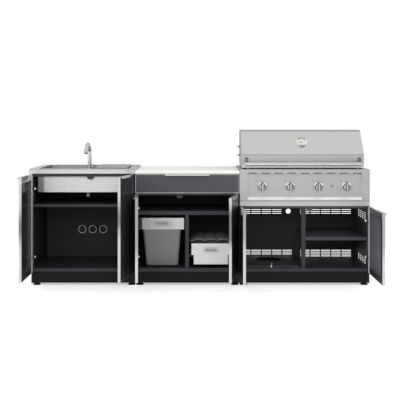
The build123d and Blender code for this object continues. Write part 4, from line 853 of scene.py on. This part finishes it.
def knobPart(at, normal, solid):  # front of the disc, sides, front of the grip
    if not frontFace(at, normal, solid):
        return 1
    return 2 if at.y < knobLook["gripFront"] else 0


def bezelPart(at, normal, solid):
    x = min(knobLook["x"], key=lambda middle: abs(at.x - middle))
    turn = math.degrees(math.atan2(at.z - knobLook["z"], at.x - x)) % 360
    return int(within(turn, knobLook["shineTurns"]))


knobSide = polished("knobSide", knobLook["side"])
knobGrip = polished("knobGrip", knobLook["grip"])
for number, x in enumerate(knobLook["x"], 1):
    bands = tuple(("X", x + start, x + end, soft, gain) for start, end, soft, gain in knobLook["bands"])
    knobDisc = polished("knobDisc" + str(number), dict(knobLook["disc"], zones=bands))
    splitDress("knob_" + str(number), (knobDisc, knobSide, knobGrip), knobPart)
bezels = several(polished, knobLook, bezelSatin="rim", bezelBright="shine")
splitDress("knob_bezels", bezels, bezelPart)
print("kitchen: knobs dressed")

# Thermometer: plated rim with painted shade and highlights, enamel face, ticks, red needle
dialLook = {
    "seat": Vector((0.8128, 0.1358, 1.1127)), "normal": Vector((0, -0.735, 0.678)).normalized(),
    "rim": {"tone": (0.62, 0.62, 0.62), "rough": 0.20},
    # painted shade and highlights round the plated rim
    "rimShade": {"tone": (0.34, 0.34, 0.34), "rough": 0.24},
    "rimBright": {"tone": (0.95, 0.95, 0.95), "rough": 0.18},
    "shadeTurns": ((32, 148), (236, 300)), "brightTurns": ((-1, 28), (152, 222), (318, 360)),
    "face": (0.66, 0.66, 0.65), "ink": (0.05, 0.05, 0.05), "needle": (0.60, 0.06, 0.06),
    "level": 0.0084, "radius": 0.0366, "bevel": (0.0006, 0.0003), "hole": 0.0022, "steps": 72,
    "ticks": 25, "sweep": 240.0, "tickEnd": 0.0335, "tickHigh": 0.00015,
    "majorEvery": 4, "major": (0.0014, 0.0066), "minor": (0.0008, 0.0038),  # width and length
}
acrossDial = Vector((1, 0, 0))
upDial = dialLook["normal"].cross(acrossDial)
dialFrame = Matrix((acrossDial, upDial, dialLook["normal"])).transposed().to_4x4()
dialFrame.translation = dialLook["seat"]


def rimPart(at, normal, solid):
    spot = at - dialLook["seat"]
    turn = math.degrees(math.atan2(spot.dot(upDial), spot.x)) % 360
    return 1 if within(turn, dialLook["shadeTurns"]) else 2 * within(turn, dialLook["brightTurns"])


def dialPlate(shape):
    radius, level = dialLook["radius"], dialLook["level"]
    inset, drop = dialLook["bevel"]
    outline = ((radius, level - drop), (radius - inset, level), (dialLook["hole"], level))
    turned(shape, dialFrame, outline, dialLook["steps"])


def dialTicks(shape):
    low = dialLook["level"]
    for step in range(dialLook["ticks"]):
        turn = math.radians(dialLook["sweep"] * (step / (dialLook["ticks"] - 1) - 0.5))
        wide, long = dialLook["minor" if step % dialLook["majorEvery"] else "major"]
        out = Matrix.Translation((0, dialLook["tickEnd"] - long / 2, 0))
        spot = dialFrame @ Matrix.Rotation(-turn, 4, "Z") @ out
        bar(shape, spot, wide, long, low, low + dialLook["tickHigh"])


rimPlates = several(polished, dialLook, rimPlate="rim", rimShade="rimShade", rimBright="rimBright")
splitDress("thermometer_case", rimPlates, rimPart)
newPiece("dialPlate", enamel("dialEnamel", dialLook["face"]), "hood", dialPlate)
newPiece("dialTicks", enamel("dialInk", dialLook["ink"]), "hood", dialTicks)
dress(enamel("needleRed", dialLook["needle"]), "thermometer_needle")
print("kitchen: thermometer made")

# Fascia marks: a plain tick above and beside each knob, a dot at its shoulder
tickWide, tickLong, dotWide = 0.0052, 0.0084, 0.0085
markLook = {
    "face": -0.046, "proud": 0.0003, "ink": (0.15, 0.15, 0.15),
    "marks": ((0.0, 0.047, tickWide, tickLong), (0.043, 0.006, tickLong, tickWide),
              (-0.047, 0.051, dotWide, dotWide)),  # across and up from the knob, width, height
}


def fasciaMarks(shape):
    out = Matrix.Translation((0, markLook["face"], 0)) @ Matrix.Rotation(math.radians(90), 4, "X")
    for x in knobLook["x"]:
        for across, up, wide, high in markLook["marks"]:
            spot = out @ Matrix.Translation((x + across, knobLook["z"] + up, 0))
            bar(shape, spot, wide, high, 0, markLook["proud"])


newPiece("fasciaMarks", enamel("markInk", markLook["ink"]), "cabinets", fasciaMarks)
print("kitchen: fascia marked")

# Studio: white floor that keeps the shadow, four soft lamps, even world, the photograph's camera
studioLook = {
    "floor": 0.86, "floorLift": 0.485, "floorReach": 12.0, "fade": (2.3, 3.4), "skyDiffuse": 0.70,
    "lamps": (
        {"name": "keySoftbox", "place": (-0.8, -6.0, 3.2), "aim": (0, 0, 0.6),
         "size": (6.0, 3.0), "power": 145.0},
        {"name": "leftSoftbox", "place": (-4.2, -2.4, 1.5), "aim": (0, -0.3, 0.5),
         "size": (2.2, 2.6), "power": 40.0},
        {"name": "rightSoftbox", "place": (4.2, -2.4, 1.5), "aim": (0, -0.3, 0.5),
         "size": (2.2, 2.6), "power": 40.0},
        {"name": "topSoftbox", "place": (0.3, -0.2, 4.4), "aim": (0.3, 0.1, 0.0),
         "size": (6.0, 4.0), "power": 12.0},
    ),
}
cameraLook = {"place": (0.0, -6.514, 1.302), "lens": 74.6, "sensor": 36.0, "shift": (-0.001, -0.2026)}


def isSeen(f):  # 1 for what the camera sees, straight or in a reflection
    path = f.node("ShaderNodeLightPath", None, None, "Is Camera Ray")
    outputs = path.socket.node.outputs
    return path.most(Sock(f, outputs["Is Glossy Ray"])).most(Sock(f, outputs["Is Transmission Ray"]))


def floorFinish():
    f = Finish("studioFloor")
    tone = f.scale(grey(studioLook["floor"]), 0.995 + f.noise(90.0) * 0.01)
    matt = f.node("ShaderNodeBsdfDiffuse", None, {"Color": tone})
    strength = isSeen(f) * studioLook["floorLift"]
    lift = f.node("ShaderNodeEmission", None, {"Color": grey(1.0), "Strength": strength})
    lit = f.node("ShaderNodeAddShader", None, {0: matt, 1: lift})
    clear = f.node("ShaderNodeBsdfTransparent", None, {"Color": grey(1.0)})
    far = (f.along("X") ** 2 + f.along("Y") ** 2) ** 0.5
    start, end = studioLook["fade"]
    return f.surface(f.node("ShaderNodeMixShader", None, {0: far.above(start, end), 1: lit, 2: clear}))


def floorPlane():
    mesh = bpy.data.meshes.new("studioFloor")
    reach = studioLook["floorReach"]
    corners = [(-reach, -reach, 0), (reach, -reach, 0), (reach, reach, 0), (-reach, reach, 0)]
    mesh.from_pydata(corners, [], [(0, 1, 2, 3)])
    floor = bpy.data.objects.new("studioFloor", mesh)
    bpy.context.scene.collection.objects.link(floor)
    mesh.materials.append(floorFinish())


def worldLight():
    world = bpy.data.worlds.new("studioWorld")
    bpy.context.scene.world = world
    f = Finish(world)
    strength = studioLook["skyDiffuse"] + isSeen(f) * (1 - studioLook["skyDiffuse"])
    f.surface(f.node("ShaderNodeBackground", None, {"Color": grey(1.0), "Strength": strength}))


def softLamp(name, place, aim, size, power):
    lamp = bpy.data.lights.new(name, "AREA")
    lamp.shape = "RECTANGLE"
    lamp.size, lamp.size_y = size
    lamp.energy = power
    holder = bpy.data.objects.new(name, lamp)
    bpy.context.scene.collection.objects.link(holder)
    holder.location = place
    holder.rotation_euler = (Vector(aim) - Vector(place)).to_track_quat("-Z", "Y").to_euler()
    holder.visible_camera = False


floorPlane()
worldLight()
for lamp in studioLook["lamps"]:
    softLamp(**lamp)
camera = bpy.data.cameras.new("photoCamera")
camera.lens = cameraLook["lens"]
camera.sensor_width = cameraLook["sensor"]
camera.shift_x, camera.shift_y = cameraLook["shift"]
cameraHolder = bpy.data.objects.new("photoCamera", camera)
bpy.context.scene.collection.objects.link(cameraHolder)
cameraHolder.location = cameraLook["place"]
cameraHolder.rotation_euler = (math.radians(90), 0, 0)
bpy.context.scene.camera = cameraHolder
bpy.context.scene.view_settings.view_transform = "Standard"
print("kitchen: studio set")
